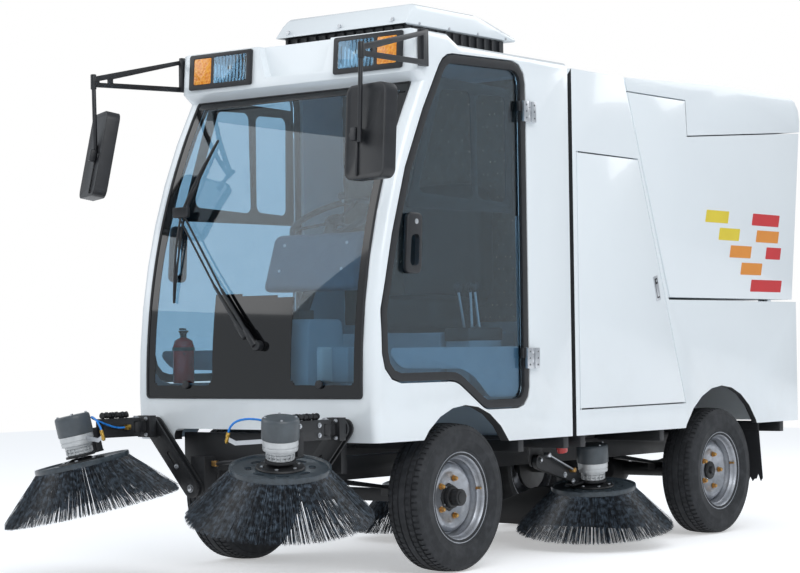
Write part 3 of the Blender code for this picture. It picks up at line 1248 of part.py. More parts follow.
def apply_frame(objects, matrix):
    """Turn the objects and the tools of their modifiers into the given frame."""
    seen = set()
    for obj in objects:
        if obj.name in seen:
            continue
        seen.add(obj.name)
        obj.matrix_world = matrix @ obj.matrix_basis
        tools = [m.object for m in obj.modifiers if m.type == "BOOLEAN"]
        apply_frame(tools, matrix)


def motor(name, matrix, carrier):
    flange = GEARBOX_RADIUS * 1.08
    cap_z = MOTOR_Z + GEARBOX_HEIGHT
    profile = [(0, cap_z + CAP_HEIGHT), (CAP_RADIUS * 0.9, cap_z + CAP_HEIGHT),
               (CAP_RADIUS, cap_z + CAP_HEIGHT * 0.92), (CAP_RADIUS, cap_z)]
    ribs = 2
    pitch = GEARBOX_HEIGHT / (ribs * 2)
    for i in range(ribs):
        z = cap_z - pitch * (2 * i)
        profile += [(GEARBOX_RADIUS * 0.9, z), (GEARBOX_RADIUS * 0.9, z - pitch),
                    (flange, z - pitch), (flange, z - pitch * 2)]
    profile.append((0, MOTOR_Z))
    body = turned(profile, 16)
    apply_frame([body], matrix)
    finish(body, name, "alloy", carrier)


# Front arm: boom that lifts, link that stays level, beam that swings and carries the motor. The boom is
# two plates on spacers, placed as shares of its length with their radii as shares of its own.
BOOM_PLATE = 0.010
SPACER_SHARES = ((0.0, 0.65), (0.35, 0.30), (0.65, 0.30), (1.0, 0.65))


def boom(label, side):
    (x0, z0), (x1, z1) = BOOM_FOOT, BOOM_HEAD
    run = math.degrees(math.atan2(z1 - z0, x1 - x0))
    points = arc((x0, z0), BOOM_RADIUS, run + 90, run + 270, 8)
    points += arc((x1, z1), BOOM_RADIUS, run - 90, run + 90, 8)
    points = [(side * u, v) for u, v in points][::side]
    bar = front_plate(points, BOOM_FACE - BOOM_PLATE, BOOM_FACE)
    add(bar, front_plate(points, BOOM_FACE - BOOM_THICK, BOOM_FACE - BOOM_THICK + BOOM_PLATE))
    for share, radius in SPACER_SHARES:
        x = side * (x0 + share * (x1 - x0))
        z = z0 + share * (z1 - z0)
        near = BOOM_FACE - BOOM_THICK + BOOM_PLATE / 2
        add(bar, rod((x, near, z), (x, BOOM_FACE - BOOM_PLATE / 2, z), radius * BOOM_RADIUS, 10))
    for x, z in (BOOM_FOOT, BOOM_HEAD):
        cut(bar, rod((side * x, BOOM_FACE - BOOM_THICK - OVERRUN, z), (side * x, BOOM_FACE + OVERRUN, z),
                     ARM_PIN_RADIUS + PIN_PLAY))
    pivot("boom_lift_" + label, (side * x0, BOOM_FACE, z0))
    finish(bar, "front_boom_" + label, "frame", "boom_lift_" + label)


LINK_HALF = 0.036
LINK_DEPTH = 0.040
TONGUE_RADIUS = 0.026
EAR = 0.0157


def arm_link(label, side):
    x, z = BOOM_HEAD
    face = BOOM_FACE - BOOM_THICK
    back = face - COLLAR
    front = back - LINK_DEPTH
    half_z = LINK_HALF * 1.3
    block = side_box(side, x - LINK_HALF, x + LINK_HALF, front, back, z - half_z, z + half_z)
    add(block, rod((side * x, back - COLLAR, z), (side * x, face - SEAT, z), COLLAR_RADIUS))
    add(block, rod((side * x, back - COLLAR, z), (side * x, BOOM_FACE + COLLAR, z), ARM_PIN_RADIUS))
    half = BEAM_BAR_HEIGHT / 2 - EAR - SEAT
    add(block, side_box(side, x - TONGUE_RADIUS / 2, x + TONGUE_RADIUS / 2, SWING_Y, front + COLLAR,
                        z - half, z + half))
    add(block, rod((side * x, SWING_Y, z - half), (side * x, SWING_Y, z + half), TONGUE_RADIUS, 12))
    cut(block, rod((side * x, SWING_Y, z - OVERRUN * 2), (side * x, SWING_Y, z + OVERRUN * 2),
                   ARM_PIN_RADIUS + PIN_PLAY))
    pivot("arm_level_" + label, (side * x, face, z), "boom_lift_" + label)
    finish(block, "arm_link_" + label, "frame", "arm_level_" + label)


# Motor plate and the foot that joins it to the beam, in the brush's own frame
FOOT_HALF = 0.022
FOOT_REACH = 0.118
FOOT_STEP = 0.001
WEB_TOP = 0.130


def head_beam(label, side):
    x, z = BOOM_HEAD
    matrix = brush_matrix(FRONT_BRUSH, FRONT_TILT, FRONT_LEAN, side)
    rear = SWING_Y - TONGUE_RADIUS - COLLAR * 1.5
    front = FRONT_BRUSH[1] + CAP_RADIUS + COLLAR * 2
    half = BEAM_BAR_HEIGHT / 2
    bar = side_box(side, x - BEAM_BAR / 2, x + BEAM_BAR / 2, front, rear, z - half, z + half)
    for z0, z1 in ((z - half, z - half + EAR), (z + half - EAR, z + half)):
        add(bar, side_box(side, x - BEAM_BAR * 0.48, x + BEAM_BAR * 0.48, rear - COLLAR, SWING_Y, z0, z1))
        add(bar, rod((side * x, SWING_Y, z0), (side * x, SWING_Y, z1), BEAM_BAR / 2, 12))
    pin = half - EAR / 2
    add(bar, rod((side * x, SWING_Y, z - pin), (side * x, SWING_Y, z + pin), ARM_PIN_RADIUS))
    plate = rod((0, 0, PLATE_Z[0]), (0, 0, PLATE_Z[1]), PLATE_RADIUS, 16)
    arm = box(-FOOT_HALF, FOOT_HALF, 0, FOOT_REACH, PLATE_Z[0] + FOOT_STEP, PLATE_Z[1] - FOOT_STEP)
    web_half = FOOT_HALF - FOOT_STEP * 2
    web = box(-web_half, web_half, CAP_RADIUS + COLLAR, FOOT_REACH - FOOT_STEP,
              PLATE_Z[0] + FOOT_STEP * 2, WEB_TOP)
    hole = rod((0, 0, PLATE_Z[0] - OVERRUN / 4), (0, 0, PLATE_Z[1] + OVERRUN / 4), SHAFT_RADIUS + COLLAR)
    apply_frame([plate, arm, web, hole], matrix)
    add(bar, plate, arm, web)
    cut(bar, hole)
    pivot("arm_swing_" + label, (side * x, SWING_Y, z), "arm_level_" + label)
    finish(bar, "head_beam_" + label, "frame", "arm_swing_" + label)


def front_arms():
    for label, side in SIDES:
        boom(label, side)
        arm_link(label, side)
        head_beam(label, side)
        matrix = brush_matrix(FRONT_BRUSH, FRONT_TILT, FRONT_LEAN, side)
        motor("brush_motor_front_" + label, matrix, "arm_swing_" + label)
        pivot("brush_spin_front_" + label, matrix.translation, "arm_swing_" + label)
        brush("brush_front_" + label, matrix, "brush_spin_front_" + label)


# Middle arms: hanger on the chassis, plate arm with the motor. The arm's side outline is in shares of its
# reach behind the pivot and its drop below it, with the rounding as a share of the drop.
PIVOT_AHEAD = 0.400
MID_PIVOT = (0.470, MID_BRUSH[1] - PIVOT_AHEAD, 0.430)
MID_ARM_HALF = 0.012
MID_ARM_REACH = 0.323
MID_ARM_DROP = 0.125
MID_ARM_SHARES = ((-0.108, -0.280, 0.24), (0.836, -0.920, 0.16), (1.0, -1.0, 0.08), (1.0, -0.480, 0.16),
                  (-0.108, 0.280, 0.24))
HANGER = 0.012
HANGER_HALF = 0.035
HANGER_BELOW = 0.030
HANGER_ROUND = 0.020
TAB_SHIFT = 0.040
TAB_HALF = 0.025
TAB_REACH = 0.140


def mid_hanger(side):
    x, y, z = MID_PIVOT
    inside = x - MID_ARM_HALF - COLLAR
    top = SILL_Z - CROSS_WIDTH / 2
    outline = rounded([(y - HANGER_HALF, z - HANGER_BELOW, HANGER_ROUND),
                       (y + HANGER_HALF, z - HANGER_BELOW, HANGER_ROUND), (OUTRIGGERS[2], top, 0),
                       (OUTRIGGERS[1], top, 0)])
    plate = side_plate(outline, side * (inside - HANGER), side * inside)
    root = (side * (inside - HANGER / 2), y, z)
    add(plate, rod(root, (side * (x - MID_ARM_HALF - SEAT), y, z), COLLAR_RADIUS))
    add(plate, rod(root, (side * (x + MID_ARM_HALF + COLLAR), y, z), ARM_PIN_RADIUS))
    add(plate, side_box(side, inside - HANGER, inside, OUTRIGGERS[1] - CROSS_WIDTH / 4,
                        OUTRIGGERS[2] + CROSS_WIDTH / 4, top - HANGER, top + HANGER))
    return plate


def mid_arm(label, side):
    x, y, z = MID_PIVOT
    matrix = brush_matrix(MID_BRUSH, MID_TILT, MID_LEAN, side)
    outline = rounded([(y + u * MID_ARM_REACH, z + v * MID_ARM_DROP, turn * MID_ARM_DROP)
                       for u, v, turn in MID_ARM_SHARES])
    arm = side_plate(outline, side * (x - MID_ARM_HALF), side * (x + MID_ARM_HALF))
    cut(arm, rod((side * (x - OVERRUN), y, z), (side * (x + OVERRUN), y, z), ARM_PIN_RADIUS + PIN_PLAY))
    plate = rod((0, 0, PLATE_Z[0]), (0, 0, PLATE_Z[1]), PLATE_RADIUS, 16)
    tab = box(-side * TAB_SHIFT - TAB_HALF, -side * TAB_SHIFT + TAB_HALF, -TAB_REACH, 0,
              PLATE_Z[0] + FOOT_STEP, PLATE_Z[1] - FOOT_STEP)
    hole = rod((0, 0, PLATE_Z[0] - OVERRUN / 4), (0, 0, PLATE_Z[1] + OVERRUN / 4), SHAFT_RADIUS + COLLAR)
    apply_frame([plate, tab, hole], matrix)
    add(arm, plate, tab)
    cut(arm, hole)
    pivot("mid_lift_" + label, (side * x, y, z))
    finish(arm, "mid_arm_" + label, "frame", "mid_lift_" + label)
    motor("brush_motor_mid_" + label, matrix, "mid_lift_" + label)
    pivot("brush_spin_mid_" + label, matrix.translation, "mid_lift_" + label)
    brush("brush_mid_" + label, matrix, "brush_spin_mid_" + label)


def build():
    chassis()
    front_axle()
    rear_axle()
    for label, side in SIDES:
        knuckle(label, side)
    tie_rod()
    wheels()
    cab_shell()
    windscreen()
    cab_floor()
    steering()
    seat()
    roof_aircon()
    for label, side in SIDES:
        cab_door(label, side)
        lamp(label, side)
        mirror(label, side)
        side_door(label, side)
        mud_flap(label, side)
        mid_arm(label, side)
    wiper()
    engine()
    rear_body()
    hopper()
    hopper_lid()
    suction_nozzle()
    front_arms()
    assemble()


build()
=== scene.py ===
"""Looks of the street sweeper truck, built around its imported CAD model, in metres."""
import math
import random

import bmesh
import bpy
from mathutils import Matrix, Vector
from mathutils.bvhtree import BVHTree


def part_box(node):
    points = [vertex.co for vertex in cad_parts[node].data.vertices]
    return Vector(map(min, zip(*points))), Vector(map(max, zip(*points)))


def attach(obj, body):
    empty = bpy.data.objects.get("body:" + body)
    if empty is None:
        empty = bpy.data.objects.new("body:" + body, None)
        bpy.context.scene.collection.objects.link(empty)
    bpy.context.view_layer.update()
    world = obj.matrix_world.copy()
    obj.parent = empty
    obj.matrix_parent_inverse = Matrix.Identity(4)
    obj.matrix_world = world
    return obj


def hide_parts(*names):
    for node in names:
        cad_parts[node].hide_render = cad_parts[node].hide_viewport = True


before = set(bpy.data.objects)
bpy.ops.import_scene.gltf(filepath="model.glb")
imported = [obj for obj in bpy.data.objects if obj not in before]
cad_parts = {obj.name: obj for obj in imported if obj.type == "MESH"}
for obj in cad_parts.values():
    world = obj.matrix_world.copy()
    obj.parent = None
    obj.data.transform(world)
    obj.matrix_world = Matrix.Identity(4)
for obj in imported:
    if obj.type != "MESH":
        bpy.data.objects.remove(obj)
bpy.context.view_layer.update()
FRONT_AXLE_Y = -0.863

# Camera
# The photograph's view, solved from the body's straight edges: a long lens from the front left corner,
# level with the bonnet line of a car and looking slightly up.
CAMERA_PLACE = (6.1744, FRONT_AXLE_Y - 7.5483, 0.9495)
CAMERA_TURN = math.radians(37.698)
CAMERA_PITCH = math.radians(1.6325)
CAMERA_ROLL = math.radians(-0.7698)
CAMERA_FOCUS_PX = 2195.77
PICTURE_WIDTH_PX = 800
camera_data = bpy.data.cameras.new("photo_camera")
camera_data.sensor_width = 36.0
camera_data.lens = CAMERA_FOCUS_PX * camera_data.sensor_width / PICTURE_WIDTH_PX
camera = bpy.data.objects.new("photo_camera", camera_data)
bpy.context.scene.collection.objects.link(camera)
camera.matrix_world = (Matrix.Translation(CAMERA_PLACE) @ Matrix.Rotation(CAMERA_TURN, 4, "Z")
                       @ Matrix.Rotation(math.pi / 2 + CAMERA_PITCH, 4, "X")
                       @ Matrix.Rotation(CAMERA_ROLL, 4, "Z"))
bpy.context.scene.camera = camera


# Studio floor and light
# A pale seamless floor, an even white surround and three large soft lamps. The surround shows as white
# to the camera and through glass, and lights the object at a plain level.
FLOOR_HALF = 14.0
SURROUND_LEVEL = 0.62
FLOOR_LIFT = 0.40


def linear(code):
    """The linear colour of an sRGB hex value."""
    parts = [int(code[i:i + 2], 16) / 255 for i in (0, 2, 4)]
    return tuple(p / 12.92 if p <= 0.04045 else ((p + 0.055) / 1.055) ** 2.4 for p in parts) + (1.0,)


def node(tree, kind, inputs=(), **settings):
    """Add a shader node. inputs maps a socket to a value or to another node's output."""
    made = tree.nodes.new("ShaderNode" + kind)
    for name, value in settings.items():
        setattr(made, name, value)
    for name, value in dict(inputs).items():
        if isinstance(value, bpy.types.NodeSocket):
            tree.links.new(value, made.inputs[name])
        else:
            made.inputs[name].default_value = value
    return made


def any_of(tree, *signals):
    """A share that is 1 where any of the signals is."""
    total = signals[0]
    for signal in signals[1:]:
        total = node(tree, "Math", {0: total, 1: signal}, operation="MAXIMUM").outputs[0]
    return total


world = bpy.data.worlds.new("studio")
bpy.context.scene.world = world
world.use_nodes = True
sky = world.node_tree
sky.nodes.clear()
path = node(sky, "LightPath").outputs
seen = any_of(sky, path["Is Camera Ray"], path["Is Transmission Ray"])
level = node(sky, "MapRange", {"Value": seen, "To Min": SURROUND_LEVEL, "To Max": 1.0}).outputs[0]
tint = node(sky, "Mix", {0: seen, 6: linear("eaf1f8"), 7: linear("ffffff")}, data_type="RGBA").outputs[2]
backdrop = node(sky, "Background", {"Color": tint, "Strength": level})
sky.links.new(backdrop.outputs[0], node(sky, "OutputWorld").inputs[0])

bpy.ops.mesh.primitive_plane_add(size=FLOOR_HALF * 2)
floor = bpy.context.object
floor.name = "studio_floor"
floor_material = bpy.data.materials.new("matt_floor")
floor_material.use_nodes = True
tree = floor_material.node_tree
tree.nodes.clear()
path = node(tree, "LightPath").outputs
seen = any_of(tree, path["Is Camera Ray"], path["Is Glossy Ray"], path["Is Transmission Ray"])
lift = node(tree, "Math", {0: seen, 1: FLOOR_LIFT}, operation="MULTIPLY").outputs[0]
matt = node(tree, "BsdfDiffuse", {"Color": linear("f4f5f7")})
glow = node(tree, "Emission", {"Color": linear("ffffff"), "Strength": lift})
both = node(tree, "AddShader", {0: matt.outputs[0], 1: glow.outputs[0]})
tree.links.new(both.outputs[0], node(tree, "OutputMaterial").inputs[0])
floor.data.materials.append(floor_material)

for name, place, size, power in (("key", (5.5, -4.5, 6.0), 5.0, 260.0),
                                 ("fill", (-6.0, -5.0, 5.0), 5.0, 110.0),
                                 ("back", (2.0, 7.0, 6.0), 5.0, 140.0)):
    lamp_data = bpy.data.lights.new(name, "AREA")
    lamp_data.size = size
    lamp_data.energy = power
    lamp = bpy.data.objects.new(name, lamp_data)
    bpy.context.scene.collection.objects.link(lamp)
    lamp.location = place
    lamp.rotation_euler = (Vector((0.0, 0.0, 1.0)) - lamp.location).to_track_quat("-Z", "Y").to_euler()
bpy.context.scene.view_settings.view_transform = "Standard"


# Tyres
# Road tyres of black rubber on all four wheels, vulcanised in a mould: five ribs round the tread,
# cut across at the shoulders, and raised rings on the bulged side walls.
REAR_AXLE_Y = FRONT_AXLE_Y + 2.218
WHEEL_RADIUS = 0.316
WHEEL_X = 0.575
TYRE_SECTION = (
    (0.1790, 0.0660), (0.1795, 0.0755), (0.1965, 0.0785), (0.2050, 0.0800), (0.2080, 0.0835),
    (0.2120, 0.0840), (0.2150, 0.0860), (0.2400, 0.0905), (0.2430, 0.0922), (0.2470, 0.0922),
    (0.2500, 0.0916), (0.2750, 0.0890), (0.2860, 0.0858), (0.2880, 0.0868), (0.2910, 0.0862),
    (0.3000, 0.0815), (0.3070, 0.0755), (0.3115, 0.0680), (0.3133, 0.0520), (0.3075, 0.0505),
    (0.3075, 0.0455), (0.3140, 0.0440), (0.3152, 0.0220), (0.3090, 0.0205), (0.3090, 0.0150),
    (0.3158, 0.0135))
TREAD_STEPS = 216
GROOVE_EVERY = 3
SHOULDER_CUT = 0.0045


def clear():
    """Leave edit mode and deselect everything."""
    if bpy.context.mode != "OBJECT":
        bpy.ops.object.mode_set(mode="OBJECT")
    bpy.ops.object.select_all(action="DESELECT")


def only(piece):
    """Make a piece the one that operators act on."""
    clear()
    piece.select_set(True)
    bpy.context.view_layer.objects.active = piece
    return piece


def pick(piece, test, kind="FACE"):
    """Edit a piece with only those faces or edges selected whose middle and direction pass the test."""
    only(piece)
    mesh = piece.data
    for part in (*mesh.vertices, *mesh.edges, *mesh.polygons):
        part.select = False
    if kind == "FACE":
        for face in mesh.polygons:
            face.select = test(face.center, face.normal)
    else:
        for edge in mesh.edges:
            ends = [mesh.vertices[i].co for i in edge.vertices]
            edge.select = test((ends[0] + ends[1]) / 2, ends[1] - ends[0])
    bpy.ops.object.mode_set(mode="EDIT")
    bpy.ops.mesh.select_mode(type=kind)


def tidy_mesh(piece):
    """Merge doubles and turn every face outwards."""
    only(piece)
    bpy.ops.object.mode_set(mode="EDIT")
    bpy.ops.mesh.select_all(action="SELECT")
    bpy.ops.mesh.remove_doubles(threshold=0.00002)
    bpy.ops.mesh.normals_make_consistent(inside=False)
    clear()
    return piece


def outline(points):
    """One flat face through the points, started as a filled circle with a corner for each."""
    clear()
    bpy.ops.mesh.primitive_circle_add(vertices=len(points), fill_type="NGON")
    piece = bpy.context.object
    for corner, place in zip(piece.data.vertices, points):
        corner.co = place
    return piece


def turned(section, steps=48):
    """Spin a closed section of (radius, height) corners about Z."""
    piece = outline([(radius, 0.0, height) for radius, height in section])
    only(piece)
    bpy.ops.object.mode_set(mode="EDIT")
    bpy.ops.mesh.delete(type="ONLY_FACE")
    bpy.ops.mesh.select_all(action="SELECT")
    bpy.ops.mesh.spin(steps=steps, angle=math.tau, center=(0, 0, 0), axis=(0, 0, 1), use_auto_merge=True)
    return tidy_mesh(piece)


def modified(piece, kind, **settings):
    """Add a modifier to a piece and apply it."""
    only(piece)
    modifier = piece.modifiers.new(kind.lower(), kind)
    for name, value in settings.items():
        setattr(modifier, name, value)
    bpy.ops.object.modifier_apply(modifier=modifier.name)
    return piece


def rounded(piece, width, segments=2, angle=50.0, **more):
    """Round the edges of a piece that turn by more than an angle."""
    return modified(piece, "BEVEL", width=width, segments=segments, limit_method="ANGLE",
                    angle_limit=math.radians(angle), **more)


def joined(pieces):
    """Join pieces into the first one."""
    clear()
    for piece in pieces:
        piece.select_set(True)
    bpy.context.view_layer.objects.active = pieces[0]
    bpy.ops.object.join()
    return pieces[0]


def surface(name, **sockets):
    """A new material with its principled shader's sockets set."""
    material = bpy.data.materials.new(name)
    material.use_nodes = True
    for socket, value in sockets.items():
        material.node_tree.nodes["Principled BSDF"].inputs[socket.replace("_", " ")].default_value = value
    return material


def noise(material, scale, detail=2.0, roughness=0.5):
    """A cloudy pattern in object coordinates. The scale is the number of its patches in a metre."""
    tree = material.node_tree
    place = node(tree, "TexCoord").outputs["Object"]
    sockets = {"Vector": place, "Scale": scale, "Detail": detail, "Roughness": roughness}
    return node(tree, "TexNoise", sockets).outputs["Fac"]


def spread(material, share, low, high, most=1.0):
    """A share stretched so that it starts at a low value and reaches its most at a high one."""
    sockets = {"Value": share, "From Min": low, "From Max": high, "To Max": most}
    return node(material.node_tree, "MapRange", sockets).outputs[0]


def blend(material, share, low, high):
    """A colour between two, each given as a hex code or as another node's output."""
    low, high = (linear(end) if isinstance(end, str) else end for end in (low, high))
    return node(material.node_tree, "Mix", {0: share, 6: low, 7: high}, data_type="RGBA").outputs[2]


def feed(material, socket, signal):
    """Link a signal to a socket of a material's shader."""
    material.node_tree.links.new(signal, material.node_tree.nodes["Principled BSDF"].inputs[socket])


def tinted(material, share, low, high):
    """Colour a material from one colour to another as a share grows."""
    feed(material, "Base Color", blend(material, share, low, high))


def embossed(material, share, depth, strength):
    """Raise a material's skin with a pattern, its depth in metres."""
    sockets = {"Height": share, "Distance": depth, "Strength": strength}
    feed(material, "Normal", node(material.node_tree, "Bump", sockets).outputs[0])


def coat(piece, material, test=None):
    """Give a piece a material, all over or on the faces whose middle and direction pass the test."""
    if material.name not in piece.data.materials:
        piece.data.materials.append(material)
    index = piece.data.materials.find(material.name)
    for face in piece.data.polygons:
        if test is None or test(face.center, face.normal):
            face.material_index = index
    return piece


def coated(material, *pieces):
    """A list of pieces, all in one material."""
    return [coat(piece, material) for piece in pieces]


def set_on(piece, name, body, smooth=35.0, stands_for=()):
    """Name a finished piece, bring its place into its mesh, smooth it, and put it on its body."""
    only(piece)
    bpy.ops.object.transform_apply(location=True, rotation=True, scale=True)
    bpy.ops.object.shade_smooth_by_angle(angle=math.radians(smooth))
    piece.name = name
    piece.data.name = name
    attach(piece, body)
    if stands_for:
        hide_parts(*stands_for)
    return piece


def copied(piece, matrix=None):
    """A copy with a mesh of its own, moved by a matrix. A mirrored copy has its faces turned back."""
    clear()
    twin = piece.copy()
    twin.data = piece.data.copy()
    twin.parent = None
    for key in list(twin.keys()):
        if key.startswith("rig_"):
            del twin[key]
    bpy.context.scene.collection.objects.link(twin)
    twin.matrix_world = Matrix.Identity(4)
    if matrix is not None:
        twin.data.transform(matrix)
        if matrix.determinant() < 0:
            twin.data.flip_normals()
    return twin


MIRROR_X = Matrix.Diagonal((-1.0, 1.0, 1.0, 1.0))
MIRROR_BY = {"left": Matrix.Identity(4), "right": MIRROR_X}
SIDES = (("left", 1), ("right", -1))
OUTWARDS = Matrix(((0, 0, 1, 0), (1, 0, 0, 0), (0, 1, 0, 0), (0, 0, 0, 1)))

# Vulcanised rubber, moulded: near black, matt, greyed with road dust that a noise of 40 mm patches lays on
tyre_rubber = surface("vulcanised_rubber", Roughness=0.78)
tinted(tyre_rubber, spread(tyre_rubber, noise(tyre_rubber, 25.0, 6.0), 0.42, 0.72, 0.5), "26282b", "45464a")
embossed(tyre_rubber, noise(tyre_rubber, 420.0), 0.0006, 0.35)

half = list(TYRE_SECTION)
tyre = turned(half + [(r, -w) for r, w in reversed(half)], TREAD_STEPS)


def tread_cut(centre, low, high, phase):
    """True on every third tread face between two distances from the tyre's middle."""
    step = round(math.atan2(centre.y, centre.x) / math.tau * TREAD_STEPS - 0.5)
    radius = math.hypot(centre.x, centre.y)
    return radius > 0.298 and low < abs(centre.z) < high and step % GROOVE_EVERY == phase


pick(tyre, lambda c, n: tread_cut(c, 0.052, 0.0765, 0))
bpy.ops.mesh.extrude_region_shrink_fatten(TRANSFORM_OT_shrink_fatten={"value": -SHOULDER_CUT})
pick(tyre, lambda c, n: tread_cut(c, 0.022, 0.044, 1 if c.z > 0 else 2) and n.x * c.x + n.y * c.y > 0.25)
bpy.ops.mesh.extrude_region_shrink_fatten(TRANSFORM_OT_shrink_fatten={"value": -SHOULDER_CUT * 0.6})
coat(tidy_mesh(tyre), tyre_rubber)

# Wheels
# Pressed steel wheels, welded from a rolled rim and a stamped disc and painted silver: three steps in
# the rim, a dished disc with five raised seats, domed nuts on their studs, and a short valve.
RIM_SECTION = (
    (0.0450, 0.0120), (0.0620, 0.0140), (0.0950, 0.0160), (0.1060, 0.0240), (0.1140, 0.0310),
    (0.1280, 0.0335), (0.1400, 0.0265), (0.1470, 0.0140), (0.1500, 0.0040), (0.1550, 0.0040),
    (0.1570, 0.0200), (0.1630, 0.0290), (0.1640, 0.0430), (0.1690, 0.0475), (0.1715, 0.0600),
    (0.1740, 0.0650), (0.1765, 0.0700), (0.1800, 0.0735), (0.1880, 0.0755), (0.1925, 0.0790),
    (0.1947, 0.0780), (0.1947, 0.0745), (0.1900, 0.0715), (0.1788, 0.0690), (0.1775, 0.0640),
    (0.1760, 0.0500), (0.1680, 0.0460), (0.1670, 0.0300), (0.1580, 0.0000), (0.1580, -0.0400),
    (0.1750, -0.0550), (0.1775, -0.0660), (0.1900, -0.0715), (0.1947, -0.0745), (0.1947, -0.0780),
    (0.1925, -0.0790), (0.1880, -0.0755), (0.1800, -0.0730), (0.1745, -0.0660), (0.1720, -0.0520),
    (0.1540, -0.0360), (0.1540, -0.0040), (0.1470, 0.0000), (0.1390, 0.0190), (0.1260, 0.0275),
    (0.1130, 0.0245), (0.0960, 0.0100), (0.0620, 0.0080), (0.0450, 0.0060))
WHEEL_STUDS = 5
STUD_CIRCLE = 0.083
SEAT_RAISED = 0.0085


def roughened(material, share, low, high):
    """Vary a material's roughness between two values with a pattern."""
    sockets = {"Value": share, "To Min": low, "To Max": high}
    feed(material, "Roughness", node(material.node_tree, "MapRange", sockets).outputs[0])


# Silver wheel enamel, sprayed on steel: fine flake, half gloss, brake dust gathered as darker clouds
wheel_silver = surface("silver_wheel_enamel", Metallic=0.75, Roughness=0.34)
clouds = noise(wheel_silver, 18.0, 8.0, 0.65)
tinted(wheel_silver, spread(wheel_silver, clouds, 0.4, 0.75, 0.55), "a9adb4", "6f6c69")
roughened(wheel_silver, clouds, 0.28, 0.55)

# Yellow passivated zinc on the nuts: satin, gold turning to green and pink from place to place
yellow_zinc = surface("yellow_passivated_zinc", Metallic=0.9, Roughness=0.38)
tinted(yellow_zinc, noise(yellow_zinc, 60.0), "c9a24a", "b98a6a")

# Black satin paint on the hub's cap and flange: even, with a soft grain of 3 mm
hub_black = surface("black_hub_paint", Base_Color=linear("1b1c1e"), Roughness=0.5)
embossed(hub_black, noise(hub_black, 330.0), 0.0004, 0.3)

rim = turned(RIM_SECTION, WHEEL_STUDS * 20)
for vertex in rim.data.vertices:
    from_hub = math.hypot(vertex.co.x, vertex.co.y)
    if 0.050 < from_hub < 0.122:
        turn = math.atan2(vertex.co.y, vertex.co.x) * WHEEL_STUDS
        crown = max(0.0, 1.0 - abs(from_hub - STUD_CIRCLE) / 0.036)
        reach = 1.0 if math.cos(turn) > 0 else 0.4
        vertex.co.z += SEAT_RAISED * crown * (0.35 + 0.65 * math.cos(turn)) * reach
coat(rim, wheel_silver)


def cylinder(radius, depth, place=(0, 0, 0), sides=24, bevel=0.0, end_radius=None):
    """An upright cylinder or cone from its foot's place, its end edges rounded."""
    clear()
    bpy.ops.mesh.primitive_cone_add(vertices=sides, radius1=radius, depth=depth,
                                    radius2=radius if end_radius is None else end_radius,
                                    location=(place[0], place[1], place[2] + depth / 2))
    piece = bpy.context.object
    bpy.ops.object.transform_apply(location=True)
    if bevel:
        rounded(piece, bevel)
    return piece


def around(count, radius, phase=0.0):
    """Places (x, y) spread evenly round a circle."""
    turns = [math.tau * (i + phase) / count for i in range(count)]
    return [(radius * math.cos(turn), radius * math.sin(turn)) for turn in turns]


nuts = []
for spot in around(WHEEL_STUDS, STUD_CIRCLE):
    nuts += [cylinder(0.0135, 0.004, (*spot, 0.0215), 20),
             cylinder(0.0105, 0.015, (*spot, 0.0235), 6, 0.0012),
             cylinder(0.0078, 0.006, (*spot, 0.037), 14, 0.003)]
nuts = coat(joined(nuts), yellow_zinc)
valve = coat(joined([cylinder(0.0042, 0.020, (0.158, 0.030, 0.050), 12, 0.001),
                     cylinder(0.0060, 0.006, (0.158, 0.030, 0.044), 12)]), yellow_zinc)
front_cap = coat(joined([cylinder(0.060, 0.008, (0, 0, 0.012), 8, 0.002),
                         cylinder(0.046, 0.024, (0, 0, 0.018), 48, 0.003),
                         cylinder(0.036, 0.046, (0, 0, 0.036), 48, 0.004),
                         cylinder(0.026, 0.006, (0, 0, 0.080), 48, 0.002)]), hub_black)
cap_bolts = [cylinder(0.0042, 0.006, (0.053 * math.cos(turn), 0.053 * math.sin(turn), 0.020), 6, 0.0008)
             for turn in (0.6, 2.17, 3.74, 5.31)]
cap_bolts = coat(joined(cap_bolts), wheel_silver)
rear_cap = coat(joined([cylinder(0.045, 0.012, (0, 0, 0.012), 48, 0.003),
                        cylinder(0.040, 0.0025, (0, 0, 0.0235), 48, 0.001)]), hub_black)
front_wheel = joined([copied(rim), copied(nuts), copied(valve), front_cap, cap_bolts])
rear_wheel = joined([rim, nuts, valve, rear_cap])
for end, axle_y, wheel in (("front", FRONT_AXLE_Y, front_wheel), ("rear", REAR_AXLE_Y, rear_wheel)):
    for side, mirror_by in MIRROR_BY.items():
        body = f"wheel_{end}_{side}"
        stand = mirror_by @ Matrix.Translation((WHEEL_X, axle_y, WHEEL_RADIUS)) @ OUTWARDS
        set_on(copied(wheel, stand), f"steel_wheel_{end}_{side}", body, 40,
               (f"rim_{end}_{side}",))
        set_on(copied(tyre, stand), f"road_tyre_{end}_{side}", body, 32,
               (f"tyre_{end}_{side}",))
for spare in (tyre, front_wheel, rear_wheel):
    bpy.data.objects.remove(spare)


# Cab, rear body, hopper and side doors
# Folded steel panels on a welded frame and a moulded nose, filled and sprayed together in cold white
# two-pack enamel. Edges are rounded a few millimetres, and the wheel arches are sprayed black inside.
SCREEN_ARC = 2.460
SCREEN_ARC_Z = 0.800
CAB_FRONT_Y = FRONT_AXLE_Y - 0.600
CAB_REAR_Y = FRONT_AXLE_Y + 0.845
TUB_MIDDLE = Vector((0.0, FRONT_AXLE_Y + 2.25, 1.70))
NOTCH_HALF = 0.450
NOTCH_TOP = 0.618


